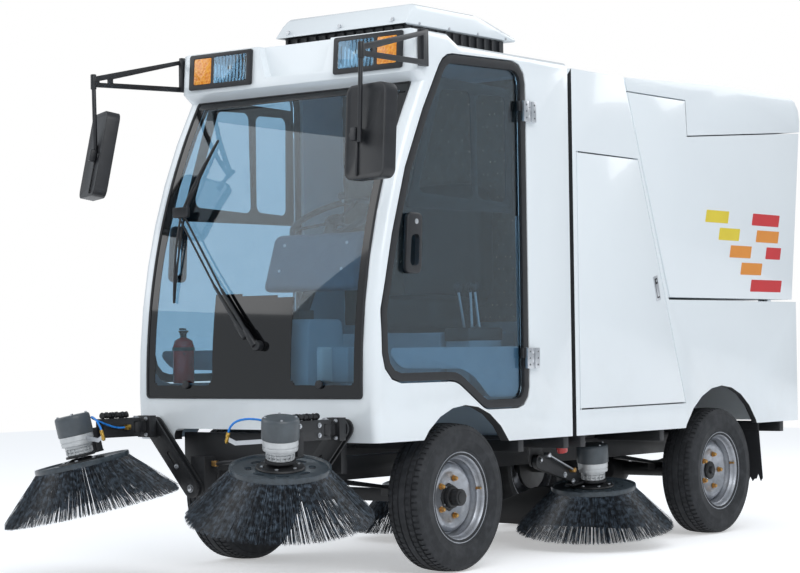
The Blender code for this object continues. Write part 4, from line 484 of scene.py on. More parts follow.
def screen_y(z, depth=0.0):
    """Where the cab's front face is at a height, or a surface that lies deeper in it."""
    rise = min(max(z, SCREEN_ARC_Z) - SCREEN_ARC_Z, SCREEN_ARC)
    return CAB_FRONT_Y + SCREEN_ARC - math.sqrt((SCREEN_ARC - depth) ** 2 - rise ** 2)


def grained(material, scale):
    """A pattern of cells in object coordinates, so many to a metre."""
    place = node(material.node_tree, "TexCoord").outputs["Object"]
    return node(material.node_tree, "TexVoronoi", {"Vector": place, "Scale": scale}).outputs["Distance"]


# Two-pack enamel, sprayed and baked: cold white, full gloss under a clear skin, a slight orange peel of
# about 5 mm that softens reflections, and a thin film of grey dust that gathers towards the sills
enamel = surface("white_two_pack_enamel", Roughness=0.26, Coat_Weight=0.6, Coat_Roughness=0.06)
tree = enamel.node_tree
clouds = noise(enamel, 2.4, 9.0, 0.62)
height = node(tree, "SeparateXYZ", {0: node(tree, "TexCoord").outputs["Object"]}).outputs["Z"]
low = spread(enamel, height, 1.05, 0.50, 0.55)
high = spread(enamel, clouds, 0.44, 0.78, 0.5)
dirt = node(tree, "Math", {0: high, 1: low}, operation="MULTIPLY").outputs[0]
tinted(enamel, dirt, blend(enamel, clouds, "f3f9fc", "eef4f8"), "c9c4ba")
embossed(enamel, noise(enamel, 190.0, 1.0), 0.0004, 0.12)

# Underbody paint, brushed and sprayed bitumen black: coarse 6 mm stipple, half matt, dusted grey
underseal = surface("black_underseal", Roughness=0.7)
tinted(underseal, noise(underseal, 9.0, 8.0), "101113", "25262a")
embossed(underseal, noise(underseal, 170.0, 3.0), 0.001, 0.5)

# Moulded ABS lining in the cab: pale blue-grey, fine leather grain of 1.5 mm, matt
lining = surface("moulded_abs_lining", Roughness=0.6)
tinted(lining, noise(lining, 5.0, 6.0), "a9bccb", "bccbd6")
embossed(lining, grained(lining, 600.0), 0.0005, 0.4)


def rounded_shape(points, radius, steps=6):
    """The corners of an outline in a plane, each rounded, or rounded by a third value of its own."""
    made = []
    for i, corner in enumerate(points):
        here = Vector(corner[:2])
        before = (Vector(points[i - 1][:2]) - here).normalized()
        after = (Vector(points[(i + 1) % len(points)][:2]) - here).normalized()
        bend = corner[2] if len(corner) > 2 else radius
        half_angle = before.angle(after) / 2
        if not bend or abs(half_angle - math.pi / 2) < 0.01:
            made.append(here)
            continue
        reach = bend / math.tan(half_angle)
        middle = here + (before + after).normalized() * bend / math.sin(half_angle)
        start = here + before * reach - middle
        swing = start.angle_signed(here + after * reach - middle)
        for step in range(steps + 1):
            turn = -swing * step / steps
            cosine, sine = math.cos(turn), math.sin(turn)
            made.append(middle + Vector((start.x * cosine - start.y * sine,
                                         start.x * sine + start.y * cosine)))
    return made


def plate(points, depth, bevel=0.0, segments=2):
    """A flat plate through an outline of places, pushed out along its own normal and rounded."""
    piece = outline(points)
    only(piece)
    bpy.ops.object.mode_set(mode="EDIT")
    bpy.ops.mesh.select_all(action="SELECT")
    facing = piece.data.polygons[0].normal.copy()
    bpy.ops.mesh.extrude_region_move(TRANSFORM_OT_translate={"value": facing * depth})
    bpy.ops.mesh.select_all(action="SELECT")
    bpy.ops.mesh.normals_make_consistent(inside=False)
    clear()
    if bevel:
        rounded(piece, bevel, segments)
    return piece


def middle_at(piece, axis, place):
    """Shift a piece along an axis so that the mean of its corners comes to a place."""
    corners = piece.data.vertices
    shift = Vector((0, 0, 0))
    shift[axis] = place - sum(v.co[axis] for v in corners) / len(corners)
    piece.data.transform(Matrix.Translation(shift))
    return piece


def start_at(piece, axis, place):
    """Shift a piece along an axis so that it starts at a place."""
    shift = Vector((0, 0, 0))
    shift[axis] = place - min(v.co[axis] for v in piece.data.vertices)
    piece.data.transform(Matrix.Translation(shift))
    return piece


def handed(piece, sign):
    """A left piece as it is, or turned into its mirror image for the right side."""
    if sign < 0:
        piece.data.transform(MIRROR_X)
        piece.data.flip_normals()
    return piece


def cut_away(piece, tool):
    """Cut a tool's shape out of a piece and delete the tool."""
    modified(piece, "BOOLEAN", operation="DIFFERENCE", object=tool, solver="EXACT")
    bpy.data.objects.remove(tool)
    return piece


def panel(node_name, bevel=0.003, flat=0.4):
    """A copy of a CAD node with its triangles joined into whole faces and its edges rounded."""
    clear()
    piece = bpy.data.objects.new(node_name + "_panel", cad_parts[node_name].data.copy())
    bpy.context.scene.collection.objects.link(piece)
    piece.data.materials.clear()
    only(piece)
    bpy.ops.object.mode_set(mode="EDIT")
    bpy.ops.mesh.select_all(action="SELECT")
    bpy.ops.mesh.remove_doubles(threshold=0.00001)
    bpy.ops.mesh.dissolve_limited(angle_limit=math.radians(flat))
    clear()
    if bevel:
        rounded(piece, bevel, angle=38.0, use_clamp_overlap=True)
    modified(piece, "TRIANGULATE", quad_method="BEAUTY", ngon_method="BEAUTY")
    return piece


def side_of(node_name, y, z, way=1):
    """How far out a CAD node's side is, at a height and a place along the truck."""
    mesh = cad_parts[node_name].data
    tree = BVHTree.FromPolygons([v.co for v in mesh.vertices], [tuple(p.vertices) for p in mesh.polygons])
    spot = tree.ray_cast(Vector((way * 2.0, y, z)), Vector((-way, 0, 0)))[0]
    return abs(spot.x)


def in_arch(point, axle_y, radius):
    """True in a wheel arch, round an axle's line."""
    return math.hypot(point.y - axle_y, point.z - WHEEL_RADIUS) < radius


def in_cab(point):
    """True on the faces that line the cab."""
    return (abs(point.x) < 0.627 and point.y > screen_y(point.z) + 0.040 and point.y < CAB_REAR_Y - 0.040
            and 0.60 < point.z < 2.212)


def under_cab(point, normal):
    """True on the faces of the cab that are sprayed with underseal: its arches and its underside."""
    arch = in_arch(point, FRONT_AXLE_Y, 0.440) and (abs(normal.x) < 0.6 or abs(point.x) < 0.62)
    belly = point.z < 0.62 and abs(point.x) < 0.64 and normal.z < 0.5 and point.y > CAB_FRONT_Y + 0.03
    return in_arch(point, FRONT_AXLE_Y, 0.394) or arch or belly


cab = panel("cab_shell")
notch = rounded_shape([(-NOTCH_HALF, 0.40), (NOTCH_HALF, 0.40), (NOTCH_HALF, NOTCH_TOP, 0.03),
                       (-NOTCH_HALF, NOTCH_TOP, 0.03)], 0.0)
notch_tool = plate([(x, CAB_FRONT_Y - 0.05, z) for x, z in notch], 0.13)
cut_away(cab, start_at(notch_tool, 1, CAB_FRONT_Y - 0.05))
coat(cab, enamel)
coat(cab, lining, lambda c, n: in_cab(c))
coat(cab, underseal, under_cab)
set_on(cab, "cab_body", "chassis", 32, ("cab_shell",))

rear = coat(panel("rear_body"), enamel)
coat(rear, underseal, lambda c, n: in_arch(c, REAR_AXLE_Y, 0.430) or
     (abs(c.x) < 0.642 and c.z < 1.17 and c.y < FRONT_AXLE_Y + 3.0 and n.y < 0.9))
set_on(rear, "rear_body_panels", "chassis", 32, ("rear_body",))
for name in ("side_door_left", "side_door_right"):
    set_on(coat(panel(name, 0.002), enamel), name + "_panel", name, 32, (name,))
tub = coat(panel("hopper"), enamel)
coat(tub, underseal, lambda c, n: (TUB_MIDDLE - c).dot(n) > 0 and abs(c.x) < 0.66 and c.z > 1.18)
set_on(tub, "hopper_tub", "hopper", 32, ("hopper",))
set_on(coat(panel("hopper_lid"), enamel), "hopper_cover", "hopper_lid", 32, ("hopper_lid",))

# Chassis
# Rails, cross members, outriggers and axles of welded and forged steel under black chassis paint,
# with the springs and the engine block beneath. The finish is dusty satin, thicker in the corners.
chassis_paint = surface("black_chassis_paint")
clouds = noise(chassis_paint, 14.0, 9.0, 0.65)
tinted(chassis_paint, clouds, "121315", "2b2c2f")
roughened(chassis_paint, clouds, 0.34, 0.62)
embossed(chassis_paint, clouds, 0.002, 0.25)
for name, body, bevel, slot in (
        ("chassis_frame", "chassis", 0.0025, "frame_paint"),
        ("front_axle", "chassis", 0.002, "frame_paint"),
        ("rear_axle", "chassis", 0.002, "frame_paint"),
        ("knuckle_left", "knuckle_left", 0.0015, "bare_steel"),
        ("knuckle_right", "knuckle_right", 0.0015, "bare_steel"),
        ("tie_rod", "tie_rod", 0.0, "bare_steel"),
        ("engine_block", "chassis", 0.006, "frame_paint"),
        ("suction_nozzle", "chassis", 0.002, "frame_paint")):
    set_on(coat(panel(name, bevel), chassis_paint), name + "_painted", body, 35, (name,))


# Windscreen
# One sheet of laminated glass, bent to the nose and bonded in, with a black printed border inside its
# edge and a black printed middle below that leaves two clear corner windows.
SCREEN_HALF = 0.5997
SCREEN_LOW = 0.7553
SCREEN_HIGH = 2.0697
SCREEN_THICK = 0.006
BORDER = 0.036
LOW_BORDER = 0.050
CORNER_ROUND = 0.030
MIDDLE_HALF = 0.222


def side_shape(points, x, radius=0.0):
    """An outline of (y, z) places measured from the front axle, set at one x."""
    return [(x, y + FRONT_AXLE_Y, z) for y, z in rounded_shape(points, radius)]


# Laminated glass, floated and bent: clear with a blue-green body that clouds a little over 60 mm, smooth
glass = surface("laminated_glass", Roughness=0.0, IOR=1.5, Transmission_Weight=1.0)
tinted(glass, noise(glass, 16.0, 3.0), "a8c6d9", "b4cfe0")

# Ceramic print, screened and fired on the glass: dense black, as glossy as the glass over it
print_black = surface("fired_ceramic_print", Base_Color=linear("0b0c0e"), Roughness=0.06, Coat_Weight=0.5)
roughened(print_black, noise(print_black, 5.0, 1.0), 0.04, 0.12)

# Black rubber profile, extruded: matt, faintly clouded with dust in 30 mm patches
seal_rubber = surface("extruded_seal_rubber", Roughness=0.55)
tinted(seal_rubber, noise(seal_rubber, 30.0, 5.0), "131417", "26282c")

clear()
bpy.ops.mesh.primitive_grid_add(x_subdivisions=120, y_subdivisions=132, size=1.0)
screen = bpy.context.object
for vertex in screen.data.vertices:
    across = vertex.co.x * 2 * SCREEN_HALF
    up = SCREEN_LOW + (vertex.co.y + 0.5) * (SCREEN_HIGH - SCREEN_LOW)
    vertex.co = (across, screen_y(up) + 0.0008, up)


def printed(c):
    """True where the windscreen is printed black."""
    if min(SCREEN_HALF - abs(c.x) - BORDER, SCREEN_HIGH - c.z - BORDER * 0.8,
           c.z - SCREEN_LOW - LOW_BORDER) < 0:
        return True
    up = c.z - SCREEN_LOW - LOW_BORDER - CORNER_ROUND
    for across in (SCREEN_HALF - abs(c.x) - BORDER - CORNER_ROUND, abs(c.x) - MIDDLE_HALF - CORNER_ROUND):
        if across < 0 and up < 0 and math.hypot(across, up) > CORNER_ROUND:
            return True
    return abs(c.x) < MIDDLE_HALF and c.z < 1.185 - 0.05 * c.x


coat(screen, glass)
coat(screen, print_black, lambda c, n: printed(c))
modified(screen, "SOLIDIFY", thickness=SCREEN_THICK, offset=-1.0)
tidy_mesh(screen)
set_on(screen, "windscreen_sheet", "chassis", 40, ("windscreen",))


def strip(points, radius, sides=8, closed=True):
    """A round strip along places: a poly curve with a bevel, made a mesh."""
    clear()
    curve = bpy.data.curves.new("strip", "CURVE")
    curve.dimensions = "3D"
    curve.bevel_depth = radius
    curve.bevel_resolution = max(0, sides // 4 - 1)
    curve.use_fill_caps = not closed
    line = curve.splines.new("POLY")
    line.points.add(len(points) - 1)
    for point, spot in zip(line.points, points):
        point.co = (*spot, 1.0)
    line.use_cyclic_u = closed
    piece = bpy.data.objects.new("strip", curve)
    bpy.context.scene.collection.objects.link(piece)
    only(piece)
    bpy.ops.object.convert(target="MESH")
    return bpy.context.object


edge_line = rounded_shape([(-0.602, 0.753), (0.602, 0.753), (0.602, 2.072), (-0.602, 2.072)], 0.012, 3)
dense = []
for i, (x, z) in enumerate(edge_line):
    nx, nz = edge_line[(i + 1) % len(edge_line)]
    count = max(1, int(math.hypot(nx - x, nz - z) / 0.05))
    dense += [(x + (nx - x) * k / count, z + (nz - z) * k / count) for k in range(count)]
seal = coat(strip([(x, screen_y(z) - 0.0005, z) for x, z in dense], 0.0055), seal_rubber)
set_on(seal, "windscreen_seal", "chassis", 50)

# Door windows
# Frameless glass doors in a black rubber-edged frame. Behind the glass hang a black aluminium frame with
# two sliding panes, and below it a moulded lining; outside sit a loop handle and two steel hinges.
# Black anodised aluminium section: satin, drawn along its length, catching a soft line of light
anodised = surface("black_anodised_aluminium", Metallic=0.6, Roughness=0.36)
tinted(anodised, noise(anodised, 12.0, 4.0), "17181a", "222427")

# Moulded black ABS, grained in the tool: satin, 1 mm leather grain that breaks up the highlights
black_abs = surface("moulded_black_abs", Roughness=0.42)
tinted(black_abs, noise(black_abs, 16.0, 6.0), "17181b", "2a2c30")
embossed(black_abs, grained(black_abs, 700.0), 0.0004, 0.3)

# Stainless steel, pressed and tumbled: bright satin with clouded 8 mm patches
stainless = surface("tumbled_stainless_steel", Metallic=1.0, Base_Color=linear("c9ccd0"))
roughened(stainless, noise(stainless, 120.0, 4.0), 0.22, 0.46)

SLIDER = ((-0.127, 2.102), (0.439, 2.093), (0.435, 1.543), (-0.337, 1.537))
PANES = (((-0.085, 2.051), (0.126, 2.059), (0.137, 1.590), (-0.262, 1.604)),
         ((0.171, 2.050), (0.391, 2.055), (0.385, 1.588), (0.171, 1.598)))
LINING = ((0.455, 0.955), (0.455, 0.765, 0.05), (0.425, 0.735, 0.05), (0.235, 0.735, 0.04),
          (0.115, 0.830, 0.10), (0.030, 0.862, 0.10), (-0.400, 0.870, 0.12), (-0.495, 0.955, 0.02))
HANDLE = ((-0.372, 1.515), (-0.272, 1.515), (-0.285, 1.262), (-0.392, 1.262))
GRIP_HOLE = ((-0.352, 1.420), (-0.296, 1.430), (-0.306, 1.296), (-0.366, 1.292))
RAIL = ((0.452, 0.958), (0.462, 0.958), (0.462, 1.532), (0.452, 1.532))
for side, sign in SIDES:
    body = f"cab_door_{side}"
    ring = coat(panel(f"cab_door_frame_{side}", 0.004), seal_rubber)
    set_on(ring, f"door_edge_{side}", body, 40, (f"cab_door_frame_{side}",))
    pane_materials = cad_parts[f"cab_door_glass_{side}"].data.materials
    pane_materials.clear()
    pane_materials.append(glass)
    slider = plate(side_shape(SLIDER, 0.6385, 0.012), 0.008)
    for pane in PANES:
        cut_away(slider, middle_at(plate(side_shape(pane, 0.60, 0.035), 0.08), 0, 0.64))
    rounded(slider, 0.0015)
    low_lining = middle_at(plate(side_shape(LINING, 0.6375), 0.006, 0.0015), 0, 0.6405)
    handle = plate(side_shape(HANDLE, 0.670, 0.028), 0.022, 0.007, 3)
    cut_away(handle, middle_at(plate(side_shape(GRIP_HOLE, 0.60, 0.020), 0.12), 0, 0.66))
    middle_at(handle, 0, 0.6665)
    lock = cylinder(0.011, 0.004, (0, 0, 0), 24, 0.001)
    lock.data.transform(Matrix.Translation((0.676, FRONT_AXLE_Y - 0.318, 1.478)) @ OUTWARDS)
    rail = middle_at(plate(side_shape(RAIL, 0.6375), 0.006), 0, 0.6405)
    for piece, name, slot, material in ((slider, "sliding_frame", "black_trim", anodised),
                                        (low_lining, "door_lining", "interior", lining),
                                        (handle, "door_handle", "black_trim", black_abs),
                                        (lock, "door_lock", "bare_steel", stainless),
                                        (rail, "door_rail", "bare_steel", stainless)):
        set_on(handed(coat(piece, material), sign), f"{name}_{side}", body, 40)


# Lamps
# Two moulded lamp units let into the brow: a black bezel round an amber fluted direction lamp outboard
# and a wide headlamp, a bright bowl behind clear glass, inboard.
LAMP_LOW = 2.124
LAMP_LEAN = 0.075
LAMP_FACE_Y = FRONT_AXLE_Y - 0.311


def ribbed(material, scale, along, distortion=0.0):
    """A pattern of ribs in object coordinates that follow each other along one axis."""
    place = node(material.node_tree, "TexCoord").outputs["Object"]
    sockets = {"Vector": place, "Scale": scale, "Distortion": distortion}
    return node(material.node_tree, "TexWave", sockets, bands_direction=along).outputs[0]


# Vacuum-metallised bowl: bright aluminium film on moulded polyester, with 20 mm vertical flutes
bowl_metal = surface("metallised_bowl", Metallic=1.0, Roughness=0.13, Base_Color=linear("dfe3e6"))
embossed(bowl_metal, ribbed(bowl_metal, 16.0, "X", 0.3), 0.004, 0.6)

# Amber polycarbonate, moulded with prisms behind its face: deep orange, bumped in cells of 12 mm, with a
# painted glint of paler orange in each cell
amber = surface("amber_polycarbonate", Roughness=0.12, Coat_Weight=0.8)
cells = grained(amber, 75.0)
# The paler orange in the cells is a painted glint; the same cells also give the prisms' real bumps
tinted(amber, cells, "e07708", "ffb23a")
embossed(amber, cells, 0.004, 0.7)


def block(low, high, bevel=0.0, segments=2):
    """A rounded block between two corners."""
    clear()
    middle = [(a + b) / 2 for a, b in zip(low, high)]
    bpy.ops.mesh.primitive_cube_add(size=1.0, location=middle)
    piece = bpy.context.object
    piece.scale = [abs(b - a) for a, b in zip(low, high)]
    bpy.ops.object.transform_apply(location=True, rotation=True, scale=True)
    if bevel:
        rounded(piece, bevel, segments)
    return piece


def stand_at(place, direction):
    """The matrix that stands an upright piece at a place, turned to a direction."""
    return Matrix.Translation(place) @ direction.to_track_quat("Z", "Y").to_matrix().to_4x4()


def bar(start, end, radius, sides=16, end_radius=None, bevel=0.0):
    """A round bar between two places."""
    run = Vector(end) - Vector(start)
    piece = cylinder(radius, run.length, sides=sides, end_radius=end_radius, bevel=bevel)
    bpy.ops.object.transform_apply(location=True, rotation=True, scale=True)
    piece.data.transform(stand_at(start, run))
    return piece


def lamp_plate(x0, x1, z0, z1, front, depth, radius, bevel):
    """A plate parallel to the leaning lamp face, its front that far in front of it."""
    corners = rounded_shape([(x0, z0), (x1, z0), (x1, z1), (x0, z1)], radius, 4)
    face = LAMP_FACE_Y - front
    piece = plate([(x, face + (z - LAMP_LOW) * LAMP_LEAN, z) for x, z in corners], depth, bevel)
    return middle_at(piece, 1, face + ((z0 + z1) / 2 - LAMP_LOW) * LAMP_LEAN + depth / 2)


for side, sign in SIDES:
    bezel = coat(lamp_plate(0.234, 0.606, 2.1245, 2.2835, 0.004, 0.012, 0.010, 0.003), black_abs)
    for x0, x1 in ((0.472, 0.578), (0.262, 0.456)):
        cut_away(bezel, lamp_plate(x0, x1, 2.146, 2.266, 0.012, 0.018, 0.008, 0.0))
    indicator = coat(lamp_plate(0.4735, 0.5765, 2.1475, 2.2645, 0.004, 0.008, 0.007, 0.002), amber)
    bowl = coat(lamp_plate(0.2635, 0.4545, 2.1475, 2.2645, 0.000, 0.004, 0.007, 0.0), bowl_metal)
    rim = lamp_plate(0.2635, 0.4545, 2.1475, 2.2645, 0.0025, 0.0025, 0.007, 0.0)
    cut_away(rim, lamp_plate(0.2755, 0.4425, 2.1595, 2.2525, 0.012, 0.018, 0.020, 0.0))
    bulb = bar((0.360, LAMP_FACE_Y + 0.010, 2.206), (0.360, LAMP_FACE_Y + 0.003, 2.206), 0.016, 32)
    lens = coat(lamp_plate(0.2625, 0.4555, 2.1465, 2.2655, 0.006, 0.003, 0.008, 0.001), glass)
    unit = joined([bezel, indicator, bowl] + coated(bowl_metal, rim, bulb))
    for piece, name, slot, stands in ((unit, "lamp_unit", "lamp_lens", (f"lamp_{side}",)),
                                      (lens, "headlamp_glass", "window_glass", ())):
        set_on(handed(piece, sign), f"{name}_{side}", "chassis", 35, stands)

# Mirrors
# A bracket bolted beside the brow holds a pierced black bar that reaches forward, and a steel rod that
# hangs from its tip carries the moulded mirror head in a clamp.
MIRROR_HEAD = (0.762, FRONT_AXLE_Y - 0.722, 1.815)

# Silvered glass: float glass with a mirror film behind it, bright, dulled in 50 mm smears
mirror_glass = surface("silvered_mirror_glass", Metallic=1.0, Base_Color=linear("e8ebee"))
roughened(mirror_glass, noise(mirror_glass, 20.0, 6.0), 0.02, 0.09)

root = Vector((0.690, FRONT_AXLE_Y - 0.25, 0))
tip = Vector((0.752, FRONT_AXLE_Y - 0.765, 0))
reach = (tip - root).length
arm_stand = (Matrix.Translation(root) @ Matrix.Rotation(math.atan2(tip.y - root.y, tip.x - root.x), 4, "Z"))
arm = plate([(u, 0.005, v) for u, v in rounded_shape(
    [(0, 2.130, 0), (reach, 2.116, 0.012), (reach, 2.162, 0.012), (0, 2.280, 0)], 0.0)], 0.010, 0.002)
for hole_points in ([(0.030, 2.152), (reach - 0.105, 2.141), (reach - 0.105, 2.158), (0.030, 2.254)],
                    [(reach - 0.080, 2.139), (reach - 0.030, 2.1375), (reach - 0.030, 2.145),
                     (reach - 0.080, 2.156)]):
    cut_away(arm, plate([(u, 0.05, v) for u, v in rounded_shape(hole_points, 0.003, 3)], 0.1))
arm.data.transform(arm_stand)
bracket = block((0.6705, FRONT_AXLE_Y - 0.287, 2.128), (0.690, FRONT_AXLE_Y - 0.233, 2.284), 0.003)
rod = joined([bar((tip.x, tip.y, 2.165), (tip.x - 0.012, tip.y - 0.002, 1.772), 0.0095, 20, bevel=0.002),
              bar((tip.x, tip.y, 2.105), (tip.x, tip.y, 2.172), 0.013, 20, bevel=0.003)])
head = block((-0.125, -0.030, -0.190), (0.125, 0.030, 0.190))
pick(head, lambda c, d: abs(d.y) > 0.02, "EDGE")
bpy.ops.mesh.bevel(offset=0.040, segments=6)
clear()
for way, border, step_in, depth in ((-1, 0.014, 0.004, -0.003), (1, 0.012, 0.002, -0.004)):
    pick(head, lambda c, n: n.y * way > 0.9)
    bpy.ops.mesh.inset(thickness=border)
    bpy.ops.mesh.inset(thickness=step_in, depth=depth)
    clear()
coat(head, black_abs)
coat(head, mirror_glass, lambda c, n: n.y > 0.9 and abs(c.x) < 0.05)
rounded(head, 0.008, 3, 60.0)
head = joined([head] + coated(
    black_abs, block((-0.052, -0.034, -0.176), (-0.040, -0.028, -0.010), 0.002),
    block((-0.062, -0.058, -0.036), (-0.030, -0.028, 0.016), 0.005, 3),
    bar((-0.090, -0.026, -0.010), (-0.090, -0.0325, -0.010), 0.010, 20, bevel=0.001)))
screws = [bar((0.690, FRONT_AXLE_Y - 0.260, z), (0.6935, FRONT_AXLE_Y - 0.260, z), 0.007, 6)
          for z in (2.150, 2.206, 2.262)]
carrier = joined(coated(black_abs, arm, bracket, rod) + coated(stainless, *screws))
for side, turn, lean in (("left", -12, 3), ("right", 29.5, 11)):
    mirror_by = MIRROR_BY[side]
    stand = (Matrix.Translation(MIRROR_HEAD) @ Matrix.Rotation(math.radians(turn), 4, "Z")
             @ Matrix.Rotation(math.radians(-lean), 4, "X"))
    mirror = joined([copied(carrier, mirror_by), copied(head, mirror_by @ stand)])
    set_on(mirror, f"mirror_arm_{side}", "chassis", 40, (f"mirror_{side}",))
bpy.data.objects.remove(carrier)
bpy.data.objects.remove(head)

# Wiper
# A twin-rod arm from a boss under the screen, two moulded pivot covers, and a long blade: a bowed spine
# with yokes that press a rubber strip along the bent glass.
BOSS = (0.052, 0.972)
CARRIER = (-0.475, 1.569)


def on_screen(x, z, off):
    """A place that far in front of the windscreen."""
    return (x, screen_y(z) - off, z)


wiper_parts = [bar(on_screen(*BOSS, 0.034), on_screen(*BOSS, 0.0003), 0.022, 24, bevel=0.003)]
for shift in (-0.017, 0.017):
    low_end = (BOSS[0] + shift * 1.6 - 0.03, BOSS[1] + 0.016 - shift)
    top_end = (CARRIER[0] + shift, CARRIER[1] - 0.02)
    knee = tuple(a + (b - a) * 0.42 for a, b in zip(low_end, top_end))
    start = tuple(a + (b - a) * 0.12 for a, b in zip(low_end, top_end))
    wiper_parts += [bar(on_screen(*low_end, 0.030), on_screen(*start, 0.032), 0.015, 8, 0.0135, 0.004),
                    bar(on_screen(*start, 0.031), on_screen(*knee, 0.030), 0.0095, 8, 0.0065),
                    bar(on_screen(*knee, 0.030), on_screen(*top_end, 0.028), 0.0048, 10)]
wiper_parts.append(block((CARRIER[0] - 0.045, screen_y(CARRIER[1]) - 0.044, CARRIER[1] - 0.030),
                         (CARRIER[0] + 0.045, screen_y(CARRIER[1]) - 0.022, CARRIER[1] + 0.016), 0.006, 3))
BLADE_STEPS = 14
BLADE_TOP, BLADE_FOOT = 1.885, 1.163
blade_line = []
for share in [step / BLADE_STEPS for step in range(BLADE_STEPS + 1)]:
    x = -0.391 + (-0.475 + 0.391) * min(1, share / 0.45) + (0.019 * max(0, (share - 0.45) / 0.55))
    blade_line.append((x, BLADE_TOP + (BLADE_FOOT - BLADE_TOP) * share))
spine = [on_screen(x, z, 0.009 + 0.020 * math.sin(math.pi * step / BLADE_STEPS))
         for step, (x, z) in enumerate(blade_line)]
wiper_parts.append(strip(spine, 0.0048, closed=False))
wiper_parts.append(strip([on_screen(x, z, 0.0055) for x, z in blade_line], 0.0045, closed=False))
for low_step, high_step in ((0, 4), (4, 7), (7, 10), (10, 14)):
    middle = (low_step + high_step) // 2
    wiper_parts.append(strip([on_screen(*blade_line[low_step], 0.006),
                              on_screen(*blade_line[middle], 0.018),
                              on_screen(*blade_line[high_step], 0.006)], 0.0036, closed=False))
set_on(coat(joined(wiper_parts), black_abs), "wiper_arm_and_blade", "chassis", 45, ("wiper",))
for x in (-0.366, 0.382):
    knob = bar(on_screen(x, 0.808, 0.014), on_screen(x, 0.808, 0.0004), 0.017, 24, 0.019, 0.003)
    title = "screen_stud_right" if x < 0 else "screen_stud_left"
    set_on(coat(knob, black_abs), title, "chassis", 40)

# Roof air-conditioner
# A moulded white cover screwed down over a black louvred body. Fins show in front under its edge.
unit = coat(panel("roof_aircon", 0.004), enamel)
coat(unit, black_abs, lambda c, n: c.z < 2.372 and (abs(c.x) < 0.352 and c.y < FRONT_AXLE_Y + 0.82))
fins = [block((x - 0.006, FRONT_AXLE_Y + 0.048, 2.262), (x + 0.006, FRONT_AXLE_Y + 0.064, 2.366), 0.002, 1)
        for x in [-0.33 + 0.055 * i for i in range(13)]]
fins += [block((sign * 0.345, y - 0.006, 2.262), (sign * 0.360, y + 0.006, 2.366), 0.002, 1)
         for sign in (-1, 1) for y in [FRONT_AXLE_Y + 0.10 + 0.06 * i for i in range(12)]]
cover_screws = [bar((x, FRONT_AXLE_Y + 0.030, 2.395), (x, FRONT_AXLE_Y + 0.0195, 2.395), 0.008, 12)
                for x in (-0.30, 0.0, 0.30)]
cover_screws += [bar((sign * 0.370, y, 2.379), (sign * 0.3785, y, 2.379), 0.006, 12)
                 for sign in (-1, 1) for y in [FRONT_AXLE_Y + 0.12 + 0.22 * i for i in range(4)]]
unit = joined([unit] + coated(black_abs, *fins) + coated(stainless, *cover_screws))
set_on(unit, "roof_unit", "chassis", 35, ("roof_aircon",))

# Cab door hinges
# Pressed stainless hinges, two to a door: a leaf with three screws on each side of a plain barrel.
HINGE_Y = FRONT_AXLE_Y + 0.5065
HINGE_X = 0.684
LEAF_HALF = 0.046
for side, sign in SIDES:
    for level, z in (("low", 0.902), ("high", 1.996)):
        for body, way, name in (("chassis", 1, "pillar_leaf"), (f"cab_door_{side}", -1, "door_leaf")):
            near, far, root = (HINGE_Y + way * reach for reach in (0.011, 0.047, -0.001))
            low, high = z - LEAF_HALF, z + LEAF_HALF
            parts = [block((0.6785, min(near, far), low), (0.6945, max(near, far), high), 0.002)]
            knuckles = [(-LEAF_HALF, -0.019), (0.019, LEAF_HALF)] if way > 0 else [(-0.017, 0.017)]
            parts += [bar((HINGE_X, HINGE_Y, z + a), (HINGE_X, HINGE_Y, z + b), 0.0098, 20, bevel=0.001)
                      for a, b in knuckles]
            parts += [block((0.682, min(near, root), z + a), (0.690, max(near, root), z + b), 0.001, 1)
                      for a, b in knuckles]
            parts = coated(stainless, *parts)
            middle = HINGE_Y + way * 0.031
            for rise in (z - 0.029, z, z + 0.029):
                cup = bar((0.694, middle, rise), (0.6958, middle, rise), 0.0068, 16)
                socket = bar((0.6950, middle, rise), (0.6964, middle, rise), 0.0036, 6)
                parts += [coat(cup, stainless), coat(socket, black_abs)]
            set_on(handed(joined(parts), sign), f"{name}_{side}_{level}", body, 40)


# Cab interior
# A moulded floor and console, a bolted pod of switches on the column, a padded seat before a quilted
# rear wall, and the small things at hand: levers with ball knobs and a fire bottle in its clip.
QUILT_PITCH = 0.050
QUILT_RATIO = 1.6
QUILT_SLANT = 0.72
QUILT_PUFF = 0.007
WALL_MIDDLE_Z = 1.630
WALL_Y = FRONT_AXLE_Y + 0.798

# Leatherette, calendered PVC on cloth: dark brown-black, low sheen, creased in a 2 mm leather grain
leatherette = surface("calendered_leatherette", Roughness=0.5)
tinted(leatherette, noise(leatherette, 12.0, 5.0), "161415", "2a2625")
embossed(leatherette, grained(leatherette, 480.0), 0.0004, 0.4)

# Quilted vinyl of the rear wall, heat-pressed on foam: dark brown, satin, 3 mm grain
quilt_vinyl = surface("quilted_vinyl", Roughness=0.45)
tinted(quilt_vinyl, noise(quilt_vinyl, 9.0, 5.0), "4d4036", "6e5b4d")
embossed(quilt_vinyl, grained(quilt_vinyl, 330.0), 0.0005, 0.3)

# Polyester stitching, twisted: pale sand, with 1 mm turns along the thread
stitching = surface("polyester_stitching", Roughness=0.7)
tinted(stitching, noise(stitching, 900.0), "c0a98a", "e6d3b6")

# Vacuum-formed pod: blue-grey ABS, satin, with a 1 mm spark grain and faint handling marks
pod_abs = surface("vacuum_formed_abs")
marks = noise(pod_abs, 18.0, 6.0)
tinted(pod_abs, marks, "55677a", "6c8093")
roughened(pod_abs, marks, 0.38, 0.58)
embossed(pod_abs, noise(pod_abs, 800.0), 0.0003, 0.35)

